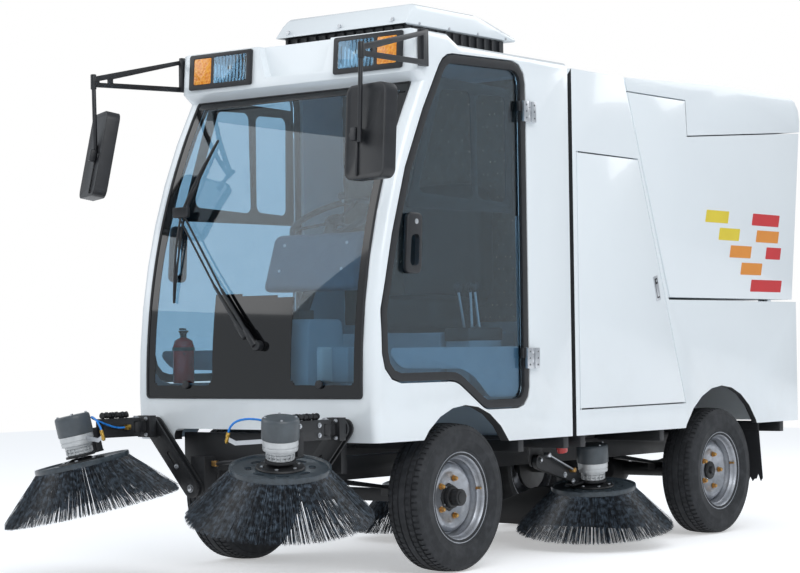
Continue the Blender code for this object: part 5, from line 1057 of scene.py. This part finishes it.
# Extinguisher enamel: stoved red on steel, glossy, chipped darker in 8 mm spots
red_enamel = surface("stoved_red_enamel", Roughness=0.22, Coat_Weight=0.5)
tinted(red_enamel, spread(red_enamel, noise(red_enamel, 60.0, 5.0), 0.60, 0.72), "c01c1a", "7d1715")

# Floor mat: ribbed nitrile rubber, charcoal, dusty, with 12 mm ribs across
mat_rubber = surface("ribbed_nitrile_rubber", Roughness=0.75)
tinted(mat_rubber, noise(mat_rubber, 7.0, 7.0), "1c1e20", "3a3c3e")
embossed(mat_rubber, ribbed(mat_rubber, 26.0, "Y"), 0.002, 0.6)

floor_piece = coat(panel("cab_floor", 0.006), lining)
coat(floor_piece, mat_rubber, lambda c, n: n.z > 0.9 and c.z < 0.80)
set_on(floor_piece, "moulded_floor", "chassis", 35, ("cab_floor",))
shroud = coat(panel("steering_column", 0.004), black_abs)
set_on(shroud, "column_shroud", "chassis", 35, ("steering_column",))

# Rear wall: a quilted pad of diamonds, sewn with pale thread, in a glued edge
clear()
bpy.ops.mesh.primitive_grid_add(x_subdivisions=124, y_subdivisions=116, size=1.0)
wall = bpy.context.object
for corner in wall.data.vertices:
    x, z = corner.co.x * 1.22, WALL_MIDDLE_Z + corner.co.y * 1.12
    along, across_it = (x + z * QUILT_SLANT) / QUILT_PITCH, (x - z * QUILT_SLANT) / QUILT_PITCH
    puff = abs(math.sin(math.pi * along / QUILT_RATIO)) * abs(math.sin(math.pi * across_it / QUILT_RATIO))
    corner.co = (x, WALL_Y - 0.003 - QUILT_PUFF * puff ** 0.45, z)
coat(wall, quilt_vinyl)
modified(wall, "SOLIDIFY", thickness=0.003, offset=-1.0)
tidy_mesh(wall)
stitches = []
for step in range(-24, 25):
    for way in (1, -1):
        ends = []
        for z in [1.075 + 1.11 * i / 89 for i in range(90)]:
            x = way * (step * QUILT_PITCH * QUILT_RATIO - (z - WALL_MIDDLE_Z) * QUILT_SLANT)
            if abs(x) < 0.600:
                ends.append((x, WALL_Y - 0.0045, z))
        if len(ends) > 3:
            stitches.append(strip([ends[0], ends[-1]], 0.0019, 4, closed=False))
set_on(joined([wall] + coated(stitching, *stitches)), "quilted_wall", "chassis", 60)


def cushion(low, high, corner=0.42, crown=0.10):
    """A closed pad between two corners: rounded all over, fuller in its middle than at its corners."""
    clear()
    bpy.ops.mesh.primitive_cube_add(size=2.0)
    piece = bpy.context.object
    bpy.ops.object.mode_set(mode="EDIT")
    bpy.ops.mesh.subdivide(number_cuts=27)
    clear()
    middle = [(a + b) / 2 for a, b in zip(low, high)]
    half = [abs(b - a) / 2 for a, b in zip(low, high)]
    power = 2 / corner
    for vertex in piece.data.vertices:
        u, v, w = vertex.co
        size = (abs(u) ** power + abs(v) ** power + abs(w) ** power) ** (1 / power)
        u, v, w = u / size, v / size, w / size
        if half[2] < half[1]:
            w *= 1 - crown + crown * math.cos(u * math.pi / 2) * math.cos(v * math.pi / 2)
            u *= 1 - 0.03 * math.cos(v * math.pi / 2)
        else:
            v *= 1 - crown + crown * math.cos(u * math.pi / 2) * math.cos(w * math.pi / 2)
            u *= 1 - 0.05 * math.cos(w * math.pi / 2)
        vertex.co = (middle[0] + u * half[0], middle[1] + v * half[1], middle[2] + w * half[2])
    return piece


# Seat: a crowned cushion and a waisted back over moulded foam, with sewn panels and piping
SEAT_X = 0.090
PANEL_HALF = 0.135
base = cushion((-0.158, FRONT_AXLE_Y + 0.243, 1.022), (0.338, FRONT_AXLE_Y + 0.655, 1.198))
back = cushion((-0.150, FRONT_AXLE_Y + 0.602, 1.130), (0.330, FRONT_AXLE_Y + 0.776, 1.716))
for pad in (base, back):
    for vertex in pad.data.vertices:
        off = abs(vertex.co.x - SEAT_X)
        groove = 0.006 * (math.exp(-((off - PANEL_HALF) / 0.006) ** 2))
        if pad is base and vertex.co.z > 1.12:
            vertex.co.z -= groove
        if pad is back and vertex.co.y < FRONT_AXLE_Y + 0.69:
            rows = sum(math.exp(-((vertex.co.z - level) / 0.007) ** 2) for level in (1.30, 1.42, 1.54))
            vertex.co.y += groove + 0.005 * rows * (1.0 if off < PANEL_HALF else 0.0)
    coat(pad, leatherette)
piping = [strip([(SEAT_X + way * PANEL_HALF, FRONT_AXLE_Y + 0.27 + 0.012 * i, 0.0) for i in range(26)],
                0.0022, closed=False) for way in (-1, 1)]
for line in piping:
    for vertex in line.data.vertices:
        share = (vertex.co.y - FRONT_AXLE_Y - 0.449) / 0.206
        vertex.co.z += 1.186 - 0.030 * share * share
seat = joined([base, back] + coated(stitching, *piping))
set_on(seat, "padded_seat", "chassis", 60, ("seat",))

# Steering wheel: a soft rim on three steel spokes under a horn button, with a spinner knob
WHEEL_STAND = (Matrix.Translation((0.090, FRONT_AXLE_Y - 0.140, 1.520))
               @ Matrix.Rotation(math.radians(28), 4, "X"))
wheel_parts = [coat(strip([(*spot, 0.0) for spot in around(64, 0.190)], 0.0135, 16), black_abs)]
for turn in (90, 210, 330):
    a = math.radians(turn)
    for lean in (-0.012, 0.012):
        spoke = bar((0.035 * math.cos(a + lean * 6), 0.035 * math.sin(a + lean * 6), -0.012),
                    (0.184 * math.cos(a + lean), 0.184 * math.sin(a + lean), -0.002), 0.0055, 12)
        wheel_parts.append(coat(spoke, black_abs))
knob_spot = (0.168 * math.cos(1.9), 0.168 * math.sin(1.9))
wheel_parts += [coat(cylinder(0.044, 0.030, (0, 0, -0.024), 40, 0.006), black_abs),
                coat(cylinder(0.030, 0.010, (0, 0, 0.003), 40, 0.004), hub_black),
                coat(cylinder(0.006, 0.022, (*knob_spot, 0.010), 16), stainless),
                coat(cylinder(0.019, 0.030, (*knob_spot, 0.026), 32, 0.009, 0.015), black_abs)]
steering = joined(wheel_parts)
steering.data.transform(WHEEL_STAND)
set_on(steering, "steering_rim", "steering_wheel", 45, ("steering_wheel",))

# Pod, console and side panel at the driver's knees
POD_LEAN = 0.35
pod = block((-0.075, FRONT_AXLE_Y - 0.440, 1.200), (0.430, FRONT_AXLE_Y - 0.285, 1.447), 0.030, 5)
for vertex in pod.data.vertices:
    vertex.co.y += (vertex.co.z - 1.20) * POD_LEAN
parts = [coat(pod, pod_abs)]
for x, z in ((0.005, 1.290), (0.350, 1.290), (0.005, 1.400), (0.350, 1.400)):
    y = FRONT_AXLE_Y - 0.440 + (z - 1.20) * POD_LEAN
    parts.append(coat(bar((x, y + 0.004, z), (x, y - 0.003, z), 0.007, 20, bevel=0.001), stainless))
gauges = [bar((x, FRONT_AXLE_Y - 0.215, 1.400), (x, FRONT_AXLE_Y - 0.195, 1.405), 0.032, 32, bevel=0.003)
          for x in (0.10, 0.20, 0.30)]
set_on(joined(parts + coated(hub_black, *gauges)), "switch_pod", "chassis", 35)
tall = block((0.020, FRONT_AXLE_Y - 0.470, 0.814), (0.160, FRONT_AXLE_Y - 0.330, 1.063), 0.014, 3)
low_part = block((0.130, FRONT_AXLE_Y - 0.470, 0.814), (0.285, FRONT_AXLE_Y - 0.330, 0.963), 0.014, 3)
shelf = block((0.255, FRONT_AXLE_Y - 0.400, 0.812), (0.368, FRONT_AXLE_Y - 0.310, 0.961), 0.008, 3)
console = joined(coated(enamel, tall, low_part) + coated(lining, shelf))
set_on(console, "pedal_console", "chassis", 35)

# Levers with ball knobs beside the seat
lever_top = block((0.420, FRONT_AXLE_Y + 0.20, 0.980), (0.560, FRONT_AXLE_Y + 0.46, 1.040), 0.012, 3)
lever_foot = block((0.425, FRONT_AXLE_Y + 0.21, 0.700), (0.555, FRONT_AXLE_Y + 0.45, 0.990), 0.006)
levers = [coat(lever_top, black_abs), coat(lever_foot, lining)]
for x, lean in ((0.450, -0.030), (0.490, 0.010), (0.530, -0.015)):
    top = (x, FRONT_AXLE_Y + 0.300 + lean, 1.220)
    levers.append(coat(bar((x, FRONT_AXLE_Y + 0.320, 1.030), top, 0.006, 16), stainless))
    clear()
    bpy.ops.mesh.primitive_uv_sphere_add(segments=32, ring_count=20, radius=0.020, location=top)
    ball = bpy.context.object
    bpy.ops.object.transform_apply(location=True)
    for vertex in ball.data.vertices:
        if vertex.co.z < top[2]:
            vertex.co.z = top[2] + (vertex.co.z - top[2]) * 1.25
    levers.append(coat(ball, black_abs))
set_on(joined(levers), "lever_stand", "chassis", 45)

# Fire bottle: a red cylinder with a domed top, a valve with a squeeze handle, and a clip round it
BOTTLE = (-0.514, FRONT_AXLE_Y - 0.460, 0)
bottle = coat(turned([(0, 0.812), (0.044, 0.812), (0.047, 0.816), (0.047, 0.975),
                      (0.040, 0.998), (0.022, 1.010), (0.015, 1.014), (0, 1.014)], 48), red_enamel)
valve = turned([(0, 1.012), (0.014, 1.012), (0.014, 1.030), (0.018, 1.032), (0.018, 1.044), (0, 1.044)], 24)
handle = block((-0.010, -0.060, 1.046), (0.010, 0.024, 1.054), 0.003)
grip = block((-0.008, -0.058, 1.024), (0.008, -0.010, 1.031), 0.002)
pin = coat(bar((-0.022, 0.004, 1.040), (0.022, 0.004, 1.040), 0.0035, 12), yellow_zinc)
clip = turned([(0.0474, 0.955), (0.0500, 0.955), (0.0500, 0.970), (0.0474, 0.970)], 40)
fire_bottle = joined([bottle] + coated(black_abs, valve, handle, grip) + [pin, coat(clip, black_abs)])
fire_bottle.data.transform(Matrix.Translation(BOTTLE) @ Matrix.Rotation(0.6, 4, "Z"))
set_on(fire_bottle, "fire_bottle", "chassis", 40)


# Brushes
# Four side brooms: a moulded ring with oval windows round a pressed hub plate, and close tufts of crimped
# bristles let into the rim. They flare to a wide skirt, worn uneven at its edge.
RING_RADIUS = 0.200
SKIRT_RADIUS = 0.374
SKIRT_DROP = 0.202
TUFT_COUNT = 124
TUFT_BRISTLES = 24
TUFT_KINDS = 8
BRISTLE_RADIUS = 0.0012
STEEL_SHARE = 0.10

# Polypropylene bristle, drawn and crimped: dark blue-grey, half glossy, with painted highlights: paler
# blue-grey patches every 20 mm or so
poly_bristle = surface("polypropylene_bristle", Roughness=0.42)
tinted(poly_bristle, spread(poly_bristle, noise(poly_bristle, 55.0, 4.0), 0.44, 0.70), "181c22", "5b6977")

# Flat spring-steel bristle: drawn wire, pale and streaked, bright where it drags on the road
wire_bristle = surface("spring_steel_bristle", Metallic=0.75)
streaks = noise(wire_bristle, 70.0, 3.0)
roughened(wire_bristle, streaks, 0.25, 0.5)
tinted(wire_bristle, streaks, "aab0b3", "dfe2e3")

# Recycled polyethylene, rotary moulded: slate, waxy, with 15 mm clouds of dust and fine scratches
ring_plastic = surface("recycled_polyethylene", Roughness=0.28)
clouds = noise(ring_plastic, 60.0, 7.0)
tinted(ring_plastic, clouds, "1d2226", "4c5861")
embossed(ring_plastic, clouds, 0.0008, 0.3)

# Die-cast aluminium of the motors, tumbled: dull silver with a 2 mm sand grain
cast_alloy = surface("die_cast_aluminium", Metallic=0.55)
clouds = noise(cast_alloy, 30.0, 6.0)
tinted(cast_alloy, clouds, "b4b7b9", "e2e4e5")
roughened(cast_alloy, clouds, 0.34, 0.56)
embossed(cast_alloy, noise(cast_alloy, 500.0), 0.0004, 0.4)

# Motor can: deep-drawn steel, powder coated slate grey with a 3 mm texture
motor_grey = surface("slate_powder_coat", Roughness=0.38)
tinted(motor_grey, noise(motor_grey, 22.0, 6.0), "3e4347", "5d656b")
embossed(motor_grey, noise(motor_grey, 330.0), 0.0005, 0.35)


def tuft():
    """One tuft at the rim on +X: bent bristles in one curve, made a mesh in two materials."""
    clear()
    curve = bpy.data.curves.new("tuft", "CURVE")
    curve.dimensions = "3D"
    curve.bevel_depth = BRISTLE_RADIUS
    curve.bevel_resolution = 0
    for _ in range(TUFT_BRISTLES):
        line = curve.splines.new("POLY")
        line.points.add(3)
        root_radius = RING_RADIUS - 0.013 + random.uniform(-0.009, 0.008)
        root_side = random.uniform(-0.0038, 0.0038)
        tip_radius = SKIRT_RADIUS + random.uniform(-0.028, 0.0)
        tip_side = root_side * 1.5 + random.gauss(0, 0.0028)
        drop = SKIRT_DROP - abs(random.gauss(0, 0.010))
        sag = random.uniform(0.95, 1.15)
        for point, share in zip(line.points, (0.0, 0.3, 0.65, 1.0)):
            out = root_radius + (tip_radius - root_radius) * share ** sag
            over = root_side + (tip_side - root_side) * share
            point.co = (out, over, -0.004 - (drop - 0.004) * share, 1.0)
            point.radius = 1.0 - 0.5 * share
        line.material_index = 1 if random.random() < STEEL_SHARE else 0
    curve.materials.append(poly_bristle)
    curve.materials.append(wire_bristle)
    piece = bpy.data.objects.new("tuft", curve)
    bpy.context.scene.collection.objects.link(piece)
    only(piece)
    bpy.ops.object.convert(target="MESH")
    return bpy.context.object


random.seed(45)
kinds = [tuft() for _ in range(TUFT_KINDS)]
tufts = []
for step in range(TUFT_COUNT):
    turn = math.tau * (step + random.uniform(-0.12, 0.12)) / TUFT_COUNT
    tufts.append(copied(kinds[step % TUFT_KINDS], Matrix.Rotation(turn, 4, "Z")))
for kind in kinds:
    bpy.data.objects.remove(kind)
skirt = joined(tufts)
ring = turned([(0.084, -0.004), (0.180, -0.006), (0.190, -0.012), (0.200, -0.012), (0.2015, 0.002),
               (0.200, 0.010), (0.193, 0.010), (0.188, 0.003), (0.090, 0.003), (0.084, 0.001)], 96)
windows = []
for step in range(8):
    shape = rounded_shape([(-0.014, -0.026), (0.014, -0.026), (0.014, 0.026), (-0.014, 0.026)], 0.013, 6)
    window = plate([(x + 0.126, y, -0.02) for x, y in shape], 0.04)
    start_at(window, 2, -0.02)
    window.data.transform(Matrix.Rotation(math.tau * step / 8, 4, "Z"))
    windows.append(window)
cut_away(ring, joined(windows))
coat(ring, ring_plastic)
hub = coat(turned([(0, 0.0), (0.096, 0.003), (0.098, 0.006), (0.094, 0.011), (0.086, 0.012), (0.058, 0.012),
                   (0.046, 0.020), (0.040, 0.022), (0, 0.022)], 64), hub_black)
shaft = coat(cylinder(0.0145, 0.0300, (0, 0, 0.0055), 32), stainless)
bolts = [coat(cylinder(0.008, 0.006, (*spot, 0.0115), 6, 0.001), stainless) for spot in around(6, 0.075)]
broom = joined([skirt, ring, hub, shaft] + bolts)
for face in broom.data.polygons:
    face.use_smooth = True


def brush_stand(x, y, z, tilt, lean):
    """The place and turn of a left brush: its axis leans by one angle towards another."""
    toward = Vector((math.cos(math.radians(lean)), math.sin(math.radians(lean)), 0))
    return (Matrix.Translation((x, y + FRONT_AXLE_Y, z))
            @ Matrix.Rotation(math.radians(tilt), 4, Vector((0, 0, 1)).cross(toward)))


BRUSH_STANDS = (("front", brush_stand(0.550, -1.050, 0.490, 12.0, -45.0), "head"),
                ("mid", brush_stand(0.510, 1.260, 0.285, 7.2, -65.0), "mid_arm"))

# Brush motors
# A slate grey can over a finned alloy gearbox on each brush, on a black plate with four bolts.
gearbox = turned([(0, 0.0362), (0.050, 0.0362), (0.053, 0.039), (0.053, 0.047), (0.046, 0.048),
                  (0.046, 0.052), (0.053, 0.053), (0.053, 0.061), (0.049, 0.062), (0.049, 0.065),
                  (0.058, 0.066), (0.058, 0.074), (0.069, 0.076), (0.070, 0.080), (0.070, 0.092),
                  (0.068, 0.093), (0.068, 0.096), (0.071, 0.097), (0.071, 0.118), (0, 0.118)], 64)
can = turned([(0, 0.1178), (0.070, 0.1178), (0.074, 0.120), (0.075, 0.124), (0.075, 0.190), (0.0735, 0.198),
              (0.069, 0.203), (0.060, 0.204), (0, 0.204)], 64)
ring_bolts = [coat(cylinder(0.0055, 0.006, (*spot, 0.203), 6, 0.001), stainless)
              for spot in around(4, 0.06, 0.5)]
ribs = []
for i in range(16):
    rib = block((0.044, -0.0025, 0.040), (0.057, 0.0025, 0.064), 0.001, 1)
    rib.data.transform(Matrix.Rotation(math.tau * i / 16, 4, "Z"))
    ribs.append(coat(rib, cast_alloy))
drive = joined([coat(gearbox, cast_alloy), coat(can, motor_grey)] + ring_bolts + ribs)
for place_name, stand, carrier in BRUSH_STANDS:
    for side, mirror_by in MIRROR_BY.items():
        for made, title, kind, body, slot, smooth in (
                (broom, "broom", "brush", f"brush_{place_name}_{side}", "bristles", 40),
                (drive, "broom_drive", "brush_motor", f"{carrier}_{side}", "alloy", 35)):
            spin = Matrix.Rotation(0.4 if place_name == "mid" else 0.0, 4, "Z")
            twin = copied(made, mirror_by @ stand @ spin)
            place = f"{place_name}_{side}"
            set_on(twin, f"{title}_{place}", body, smooth, (f"{kind}_{place}",))
bpy.data.objects.remove(broom)
bpy.data.objects.remove(drive)

# Brush arms
# Twin-plate booms, swivel links and box beams of laser-cut steel under black paint, pinned together
# with zinc-plated bolts. Each beam's clevis holds the motor plate.
BOOM_FOOT = Vector((0.300, 0.365))
BOOM_HEAD = Vector((0.530, 0.630))
BOOM_FRONT_Y = FRONT_AXLE_Y - 0.655


def bolt(place, direction, radius=0.009, head=0.006):
    """A bolt head on a washer, at a place on a face that looks in a direction."""
    clear()
    washer = cylinder(radius * 1.45, 0.0022, (0, 0, -0.0002), 24)
    hexagon = cylinder(radius, head, (0, 0, 0.0016), 6, 0.001)
    piece = joined([washer, hexagon])
    piece.data.transform(stand_at(place, Vector(direction)))
    return coat(piece, stainless)


boom = coat(panel("front_boom_left", 0.0015), chassis_paint)
slot_line = (BOOM_HEAD - BOOM_FOOT).normalized()
across = Vector((-slot_line.y, slot_line.x))
corners = [BOOM_FOOT + slot_line * along + across * over
           for along, over in ((0.135, -0.009), (0.205, -0.009), (0.205, 0.009), (0.135, 0.009))]
slot_tool = plate([(x, BOOM_FRONT_Y - 0.01, z) for x, z in rounded_shape(corners, 0.008, 5)], 0.02)
cut_away(boom, start_at(slot_tool, 1, BOOM_FRONT_Y - 0.003))
boom_parts = [boom]
for share, size in ((0.0, 0.012), (0.35, 0.008), (1.0, 0.012)):
    x, z = BOOM_FOOT + (BOOM_HEAD - BOOM_FOOT) * share
    boom_parts.append(bolt((x, BOOM_FRONT_Y, z), (0, -1, 0), size))
right_boom = joined(boom_parts)
left_boom = copied(right_boom)
set_on(left_boom, "boom_plates_left", "boom_left", 35, ("front_boom_left",))
set_on(handed(right_boom, -1), "boom_plates_right", "boom_right", 35, ("front_boom_right",))
for side, sign in SIDES:
    link = coat(panel(f"arm_link_{side}", 0.002), chassis_paint)
    x, z = BOOM_HEAD
    link_bolts = [bolt((sign * (x + dx), FRONT_AXLE_Y - 0.7105, z + dz), (0, -1, 0), 0.006)
                  for dx in (-0.024, 0.024) for dz in (-0.034, 0.034)]
    name = f"arm_link_{side}"
    set_on(joined([link] + link_bolts), f"swivel_link_{side}", name, 35, (name,))
    beam = coat(panel(f"head_beam_{side}", 0.0015), chassis_paint)
    beam_bolts = [bolt((sign * x, FRONT_AXLE_Y - 0.750, z + 0.040), (0, 0, 1), 0.010)]
    beam_bolts += [bolt((sign * 0.555, FRONT_AXLE_Y + y, z), (sign, 0, 0), 0.007)
                   for y, z in ((-0.815, 0.650), (-0.815, 0.610), (-0.935, 0.650), (-0.935, 0.610))]
    sleeve_line = [(sign * (0.530 + 0.004 * math.sin(i)), FRONT_AXLE_Y - 0.800 - 0.010 * i,
                    0.684 + 0.002 * math.cos(2 * i)) for i in range(16)]
    sleeve = [bar(sleeve_line[i], sleeve_line[i + 1], 0.011 if i % 2 else 0.0135, 16) for i in range(15)]
    beam = joined([beam] + beam_bolts + coated(seal_rubber, *sleeve))
    set_on(beam, f"broom_beam_{side}", f"head_{side}", 35, (f"head_beam_{side}",))

# Water spray
# Each front brush is damped by a brass nozzle on a bent strap from its motor. A blue hose feeds it
# from a fitting screwed into the beam's inner face.
HOSE_LINE = (
    (0.493, -0.850, 0.632), (0.493, -0.867, 0.631), (0.492, -0.884, 0.631), (0.491, -0.901, 0.632),
    (0.490, -0.918, 0.635), (0.488, -0.934, 0.638), (0.487, -0.951, 0.643), (0.486, -0.967, 0.647),
    (0.485, -0.984, 0.652), (0.484, -1.000, 0.658), (0.483, -1.016, 0.663), (0.480, -1.032, 0.668),
    (0.476, -1.048, 0.673), (0.470, -1.064, 0.677), (0.462, -1.078, 0.681), (0.450, -1.091, 0.683),
    (0.437, -1.101, 0.684), (0.422, -1.110, 0.683), (0.407, -1.118, 0.680), (0.392, -1.124, 0.675),
    (0.378, -1.128, 0.667), (0.366, -1.131, 0.655), (0.356, -1.131, 0.641), (0.351, -1.130, 0.625))
HOSE_DIAMETER = 0.009

# Polyurethane hose, extruded: vivid blue, glossy, with 30 mm dull patches
hose_blue = surface("polyurethane_hose")
patches = noise(hose_blue, 33.0, 4.0)
tinted(hose_blue, patches, "0d6fd0", "2a97f2")
roughened(hose_blue, patches, 0.18, 0.4)

# Turned brass: yellow, bright on its flats and brown in its grooves
brass = surface("turned_brass", Metallic=1.0)
tarnish = noise(brass, 90.0, 5.0)
tinted(brass, tarnish, "8a6a2c", "dcb660")
roughened(brass, tarnish, 0.18, 0.42)

hose_points = [(x, y + FRONT_AXLE_Y, z) for x, y, z in HOSE_LINE]
for side, sign in SIDES:
    points = [(sign * x, y, z) for x, y, z in hose_points]
    start = Vector(points[0])
    block_piece = block((sign * 0.4845, start.y + 0.004, start.z - 0.011),
                        (sign * 0.5055, start.y + 0.028, start.z + 0.011), 0.002)
    union = bar(start + Vector((0, 0.006, 0)), start - Vector((0, 0.006, 0)), 0.0078, 6, bevel=0.0006)
    end = Vector(points[-1])
    down = (end - Vector(points[-2])).normalized()
    collar = bar(end - down * 0.007, end + down * 0.010, 0.0085, 6, bevel=0.0006)
    body_part = bar(end + down * 0.008, end + down * 0.028, 0.0075, 24, bevel=0.001)
    tip_part = bar(end + down * 0.026, end + down * 0.038, 0.0095, 24, 0.006, 0.0008)
    fittings = coated(brass, block_piece, union, collar, body_part, tip_part)
    root_spot = Vector((sign * 0.520, FRONT_AXLE_Y - 1.066, 0.598))
    bend_spot = end + Vector((sign * 0.030, 0.010, -0.036))
    eye_spot = end + down * 0.020
    strap = []
    for low_spot, high_spot in ((root_spot, bend_spot), (bend_spot, eye_spot)):
        run = high_spot - low_spot
        plank = block((-0.001, -0.009, -0.003), (0.001, 0.009, run.length + 0.003), 0.0005, 1)
        plank.data.transform(stand_at(low_spot, run))
        strap.append(coat(plank, stainless))
    nozzle = set_on(joined(fittings[2:] + strap), f"spray_nozzle_{side}", f"head_{side}", 35)
    set_on(joined(fittings[:2]), f"spray_union_{side}", f"head_{side}", 35)
    hose = coat(strip(points, HOSE_DIAMETER / 2, sides=16, closed=False), hose_blue)
    set_on(hose, f"spray_hose_{side}", f"head_{side}", 60)

# Front cross beam
# The beam under the nose carries two black dampers along its face. Each slides on a steel rod and ends in
# yellow zinc clevises, bolted on near the booms' feet.
for side, sign in SIDES:
    y = FRONT_AXLE_Y - 0.578
    damper = bar((sign * 0.060, y, 0.486), (sign * 0.215, y, 0.470), 0.010, 24, bevel=0.001)
    rod = bar((sign * 0.020, y, 0.490), (sign * 0.062, y, 0.4858), 0.0045, 20)
    ends = [block((sign * 0.213, y - 0.011, 0.458), (sign * 0.240, y + 0.011, 0.482), 0.002),
            block((sign * 0.004, y - 0.011, 0.480), (sign * 0.024, y + 0.011, 0.502), 0.002)]
    parts = [coat(damper, black_abs), coat(rod, stainless)] + coated(yellow_zinc, *ends)
    set_on(joined(parts), f"steering_damper_{side}", "chassis", 35)


# Body fittings
# The printed film on the hopper's sides, the tool doors' flush latches, the rubber mud flaps, and the
# middle brush arms with their bolts and rods.


# Cast vinyl film, printed and laminated: flat colour, satin, faded a little in 160 mm patches
def film(name, code, darker):
    """Vinyl film of one colour."""
    made = surface(name, Roughness=0.3)
    tinted(made, noise(made, 6.0, 5.0), code, darker)
    return made


FILMS = (film("yellow_vinyl_film", "f2dc3a", "e3c92c"), film("orange_vinyl_film", "f09a35", "e28a2a"),
         film("red_vinyl_film", "dc2b30", "c92228"))
FILM_THICK = 0.0004
GRAPHIC_LOW = (2.080, 1.222)
# Slanted bars of three colours: colour, place along and up from the graphic's corner, width
BARS = ((0, 0.00, 0.344, 0.230), (0, 0.13, 0.258, 0.210), (1, 0.24, 0.172, 0.220), (1, 0.35, 0.086, 0.220),
        (2, 0.45, 0.000, 0.330), (2, 0.48, 0.344, 0.290), (2, 0.62, 0.172, 0.160), (1, 0.52, 0.258, 0.240))
BAR_HEIGHT = 0.062
BAR_SLANT = 0.30

for side, sign in SIDES:
    bars = []
    for colour, along, rise, width in BARS:
        y, z = FRONT_AXLE_Y + GRAPHIC_LOW[0] + along, GRAPHIC_LOW[1] + rise
        lean, top = BAR_HEIGHT * BAR_SLANT, z + BAR_HEIGHT
        corners = [(y, z), (y + width, z), (y + width + lean, top), (y + lean, top)]
        side_x = side_of("hopper", y + width / 2, z + BAR_HEIGHT / 2, sign)
        shape = [(sign * side_x, u, v) for u, v in rounded_shape(corners, 0.004, 3)]
        piece = plate(shape, FILM_THICK)
        shift = side_x + 0.0002 - min(abs(v.co.x) for v in piece.data.vertices)
        piece.data.transform(Matrix.Translation((sign * shift, 0, 0)))
        bars.append(coat(piece, FILMS[colour]))
    set_on(joined(bars), f"hopper_graphic_{side}", "hopper", 30)

# Latch of each tool door: a stainless paddle in a pressed cup, slanted along the door's edge
for side, sign in SIDES:
    low, high = Vector((0.0, 1.618, 1.168)), Vector((0.0, 1.588, 1.286))
    run = high - low
    x = side_of(f"side_door_{side}", high.y + FRONT_AXLE_Y - 0.05, high.z, sign) + 0.0002
    frame_plate = block((-0.001, -0.019, 0.0), (0.0025, 0.019, run.length), 0.0012, 2)
    cup = block((0.0015, -0.012, 0.012), (0.0030, 0.012, run.length - 0.012), 0.001, 1)
    paddle = block((0.0020, -0.009, 0.020), (0.0060, 0.009, run.length - 0.040), 0.002, 2)
    lock = cylinder(0.006, 0.002, (0, 0, 0), 24)
    lock.data.transform(Matrix.Translation((0.003, 0, run.length - 0.024))
                        @ Matrix.Rotation(math.pi / 2, 4, "Y"))
    latch = joined([coat(frame_plate, stainless), coat(cup, black_abs)] + coated(stainless, paddle, lock))
    latch.data.transform(Matrix.Rotation(math.atan2(-run.y, run.z), 4, "X"))
    latch.data.transform(Matrix.Translation((abs(x), low.y + FRONT_AXLE_Y, low.z)))
    set_on(handed(latch, sign), f"tool_door_latch_{side}", f"side_door_{side}", 35)

# Mud flaps: cut from 6 mm ply-rubber belt, worn to rags along the foot, bolted under a steel strip
for side, sign in SIDES:
    random.seed(7)
    low_box, high_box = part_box(f"mud_flap_{side}")
    inner, outer = 0.490, 0.6695
    y_top, y_foot = low_box[1], high_box[1] - 0.008
    z_top, z_foot = high_box[2], low_box[2]
    edge = [(outer, z_top), (inner, z_top)]
    teeth = 15
    for step in range(teeth + 1):
        x = inner + (outer - inner) * step / teeth
        edge.append((x, z_foot + random.uniform(0.0, 0.040) + (0.012 if step % 2 else 0.0)))
    shape = [(sign * x, y_top + (z_top - z) / (z_top - z_foot) * (y_foot - y_top), z) for x, z in edge]
    flap = plate(shape, 0.006)
    move = low_box[1] - min(v.co.y for v in flap.data.vertices)
    flap.data.transform(Matrix.Translation((0, max(0.0, move), 0)))
    strip_plate = block((sign * inner, y_top - 0.001, z_top - 0.036),
                        (sign * outer, y_top + 0.012, z_top - 0.006), 0.001, 1)
    flap_bolts = [bolt((sign * x, y_top + 0.012, z_top - 0.021), (0, 1, 0), 0.007, 0.005)
                  for x in (0.515, 0.580, 0.645)]
    flap = joined([coat(flap, seal_rubber), coat(strip_plate, chassis_paint)] + flap_bolts)
    set_on(flap, f"mud_flap_worn_{side}", "chassis", 30, (f"mud_flap_{side}",))

# Middle brush arms: painted plate arms with pale bolts, a red accumulator and a silver stay rod
for side, sign in SIDES:
    arm_piece = coat(panel(f"mid_arm_{side}", 0.0015), chassis_paint)
    outer_x = sign * 0.482
    arm_bolts = [bolt((outer_x, FRONT_AXLE_Y + y, z), (sign, 0, 0))
                 for y, z in ((0.860, 0.430), (1.060, 0.352), (1.130, 0.318))]
    rod_start = Vector((sign * 0.500, FRONT_AXLE_Y + 0.900, 0.452))
    rod_end = Vector((sign * 0.500, FRONT_AXLE_Y + 1.110, 0.372))
    inward, outward = Vector((-sign * 0.022, 0, 0)), Vector((sign * 0.008, 0, 0))
    eyes = [bar(spot + inward, spot + outward, 0.012, 24, bevel=0.002) for spot in (rod_start, rod_end)]
    stay = coated(stainless, bar(rod_start, rod_end, 0.0055), eyes[0]) + coated(yellow_zinc, eyes[1])
    arm_piece = joined([arm_piece] + arm_bolts + stay)
    name = f"mid_arm_{side}"
    set_on(arm_piece, f"mid_arm_dressed_{side}", name, 35, (name,))
    x, y = sign * 0.560, FRONT_AXLE_Y + 0.900
    canister = coat(bar((x, y, 0.552), (x, y + 0.026, 0.462), 0.026, 40, bevel=0.009), red_enamel)
    collar = coat(bar((x, y - 0.0015, 0.557), (x, y + 0.001, 0.548), 0.018, 24), stainless)
    shelf = block((sign * 0.480, y - 0.020, 0.500), (sign * 0.545, y + 0.030, 0.506), 0.001, 1)
    vessel = joined([canister, collar, coat(shelf, chassis_paint)])
    set_on(vessel, f"accumulator_{side}", "chassis", 40)
